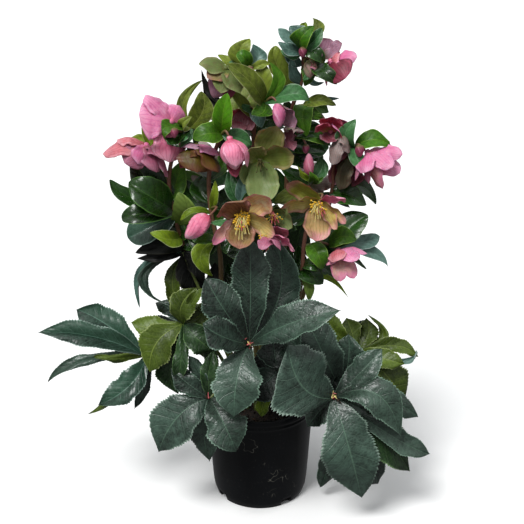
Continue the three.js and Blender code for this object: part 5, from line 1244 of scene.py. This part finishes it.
def makeBloom(node, bloom):
    form = newForm()
    heart, look = spot(bloom["at"]), unit(np.array(bloom["look"], float))
    half = look * receptacle["half"] * mm
    addEgg(form, heart - half, heart + half, 2 * receptacle["radius"] * mm, bloom["skins"][1],
           sides=20, rows=10)
    if "whorl" in bloom:
        length = bloom["whorl"] * mm
        sepals = [(tip, 0.62 * length, bloom["skins"], look) for tip in evenTips(heart, look, length)]
    else:
        sepals = []
        for tip, width, *own in bloom["sepals"]:
            skins = own[0] if own else bloom["skins"]
            way = unit(np.array(own[1], float)) if len(own) > 1 else look
            sepals.append((spot(tip), width * mm, skins, way))
    if "core" in bloom:
        end, width = bloom["core"]
        addEgg(form, heart, spot(end), width * mm, bloom["skins"][1])
    for tip, width, skins, way in sepals:
        addSepal(form, heart, way, tip, width, bloom.get("belly", 0.16), skins, bloom.get("calm", 1.0),
                 bloom.get("kind", "sepal"))
    if "stamens" in bloom:
        addStamens(form, heart, look, bloom["stamens"])
    finishPiece(camelName(node), form, node)


def makeBud(node, bud):
    form = newForm()
    root, tip = spot(bud["from"]), spot(bud["to"])
    addEgg(form, root, tip, bud["width"] * mm, bud["skin"])
    if "wing" in bud:
        end, width, skins = bud["wing"]
        addSepal(form, root, unit(tip - root), spot(end), width * mm, 0.2, skins)
    finishPiece(camelName(node), form, node)


def makeTuft(node, own):
    form = newForm()
    bloom = blooms[own["bloom"]]
    addStamens(form, spot(bloom["at"]), unit(np.array(bloom["look"], float)), own)
    finishPiece(camelName(node), form, node)


for node, bloom in blooms.items():
    makeBloom(node, bloom)
for node, bud in closedBuds.items():
    makeBud(node, bud)
print("blooms and buds made:", len(blooms) + len(closedBuds))
for node, own in tufts.items():
    makeTuft(node, own)
print("stamens made:", len(tufts))

# floor, light and camera

studio = {"floor": 30.0, "zenith": 0.9, "horizon": 0.2, "sky": (0.96, 0.98, 1.0, 1),
          "sunStrength": 2.7, "sunSize": 22.0, "sunAim": (0.35, 0.5, -1.0)}


def makeFloor():
    half = studio["floor"] / 2
    mesh = bpy.data.meshes.new("floor")
    corners = [(-half, -half, 0), (half, -half, 0), (half, half, 0), (-half, half, 0)]
    mesh.from_pydata(corners, [], [[0, 1, 2, 3]])
    material, tree, shader = newMaterial("paleFloor", 0.9)
    shade = mixed(tree, speckle(tree, 3.0), tone("#f4f4f3"), tone("#fafaf9"))
    tree.links.new(shade, shader.inputs["Base Color"])
    mesh.materials.append(material)
    floor = bpy.data.objects.new("floor", mesh)
    bpy.context.scene.collection.objects.link(floor)
    # the floor takes light and shadow but throws none back, as dark ground would
    floor.visible_diffuse = floor.visible_glossy = False


def addSun():
    light = bpy.data.lights.new("softSun", "SUN")
    light.energy, light.angle = studio["sunStrength"], math.radians(studio["sunSize"])
    holder = bpy.data.objects.new("softSun", light)
    holder.rotation_euler = Vector(studio["sunAim"]).to_track_quat("-Z", "Y").to_euler()
    bpy.context.scene.collection.objects.link(holder)


def lightSky():
    # brighter overhead than at the horizon
    world = bpy.data.worlds.new("studio")
    world.use_nodes = True
    tree = world.node_tree
    height = addNode(tree, "SeparateXYZ", {0: addNode(tree, "TexCoord").outputs["Generated"]}).outputs["Z"]
    levels = {"Value": height, "To Min": studio["horizon"], "To Max": studio["zenith"]}
    sky = addNode(tree, "MapRange", levels)
    background = tree.nodes["Background"]
    background.inputs["Color"].default_value = studio["sky"]
    tree.links.new(sky.outputs["Result"], background.inputs["Strength"])
    bpy.context.scene.world = world
    bpy.context.scene.view_settings.view_transform = "Standard"


def placeCamera():
    camera = bpy.data.objects.new("camera", bpy.data.cameras.new("camera"))
    camera.location = np.array([eye["across"], -eye["distance"], eye["height"]]) * mm
    camera.rotation_euler = (math.radians(90 - eye["pitch"]), 0, 0)
    camera.data.lens = eye["lens"]
    camera.data.clip_start, camera.data.clip_end = 0.05, 100
    bpy.context.scene.collection.objects.link(camera)
    bpy.context.scene.camera = camera


makeFloor()
addSun()
lightSky()
placeCamera()
print("camera and light placed")

bpy.context.view_layer.update()
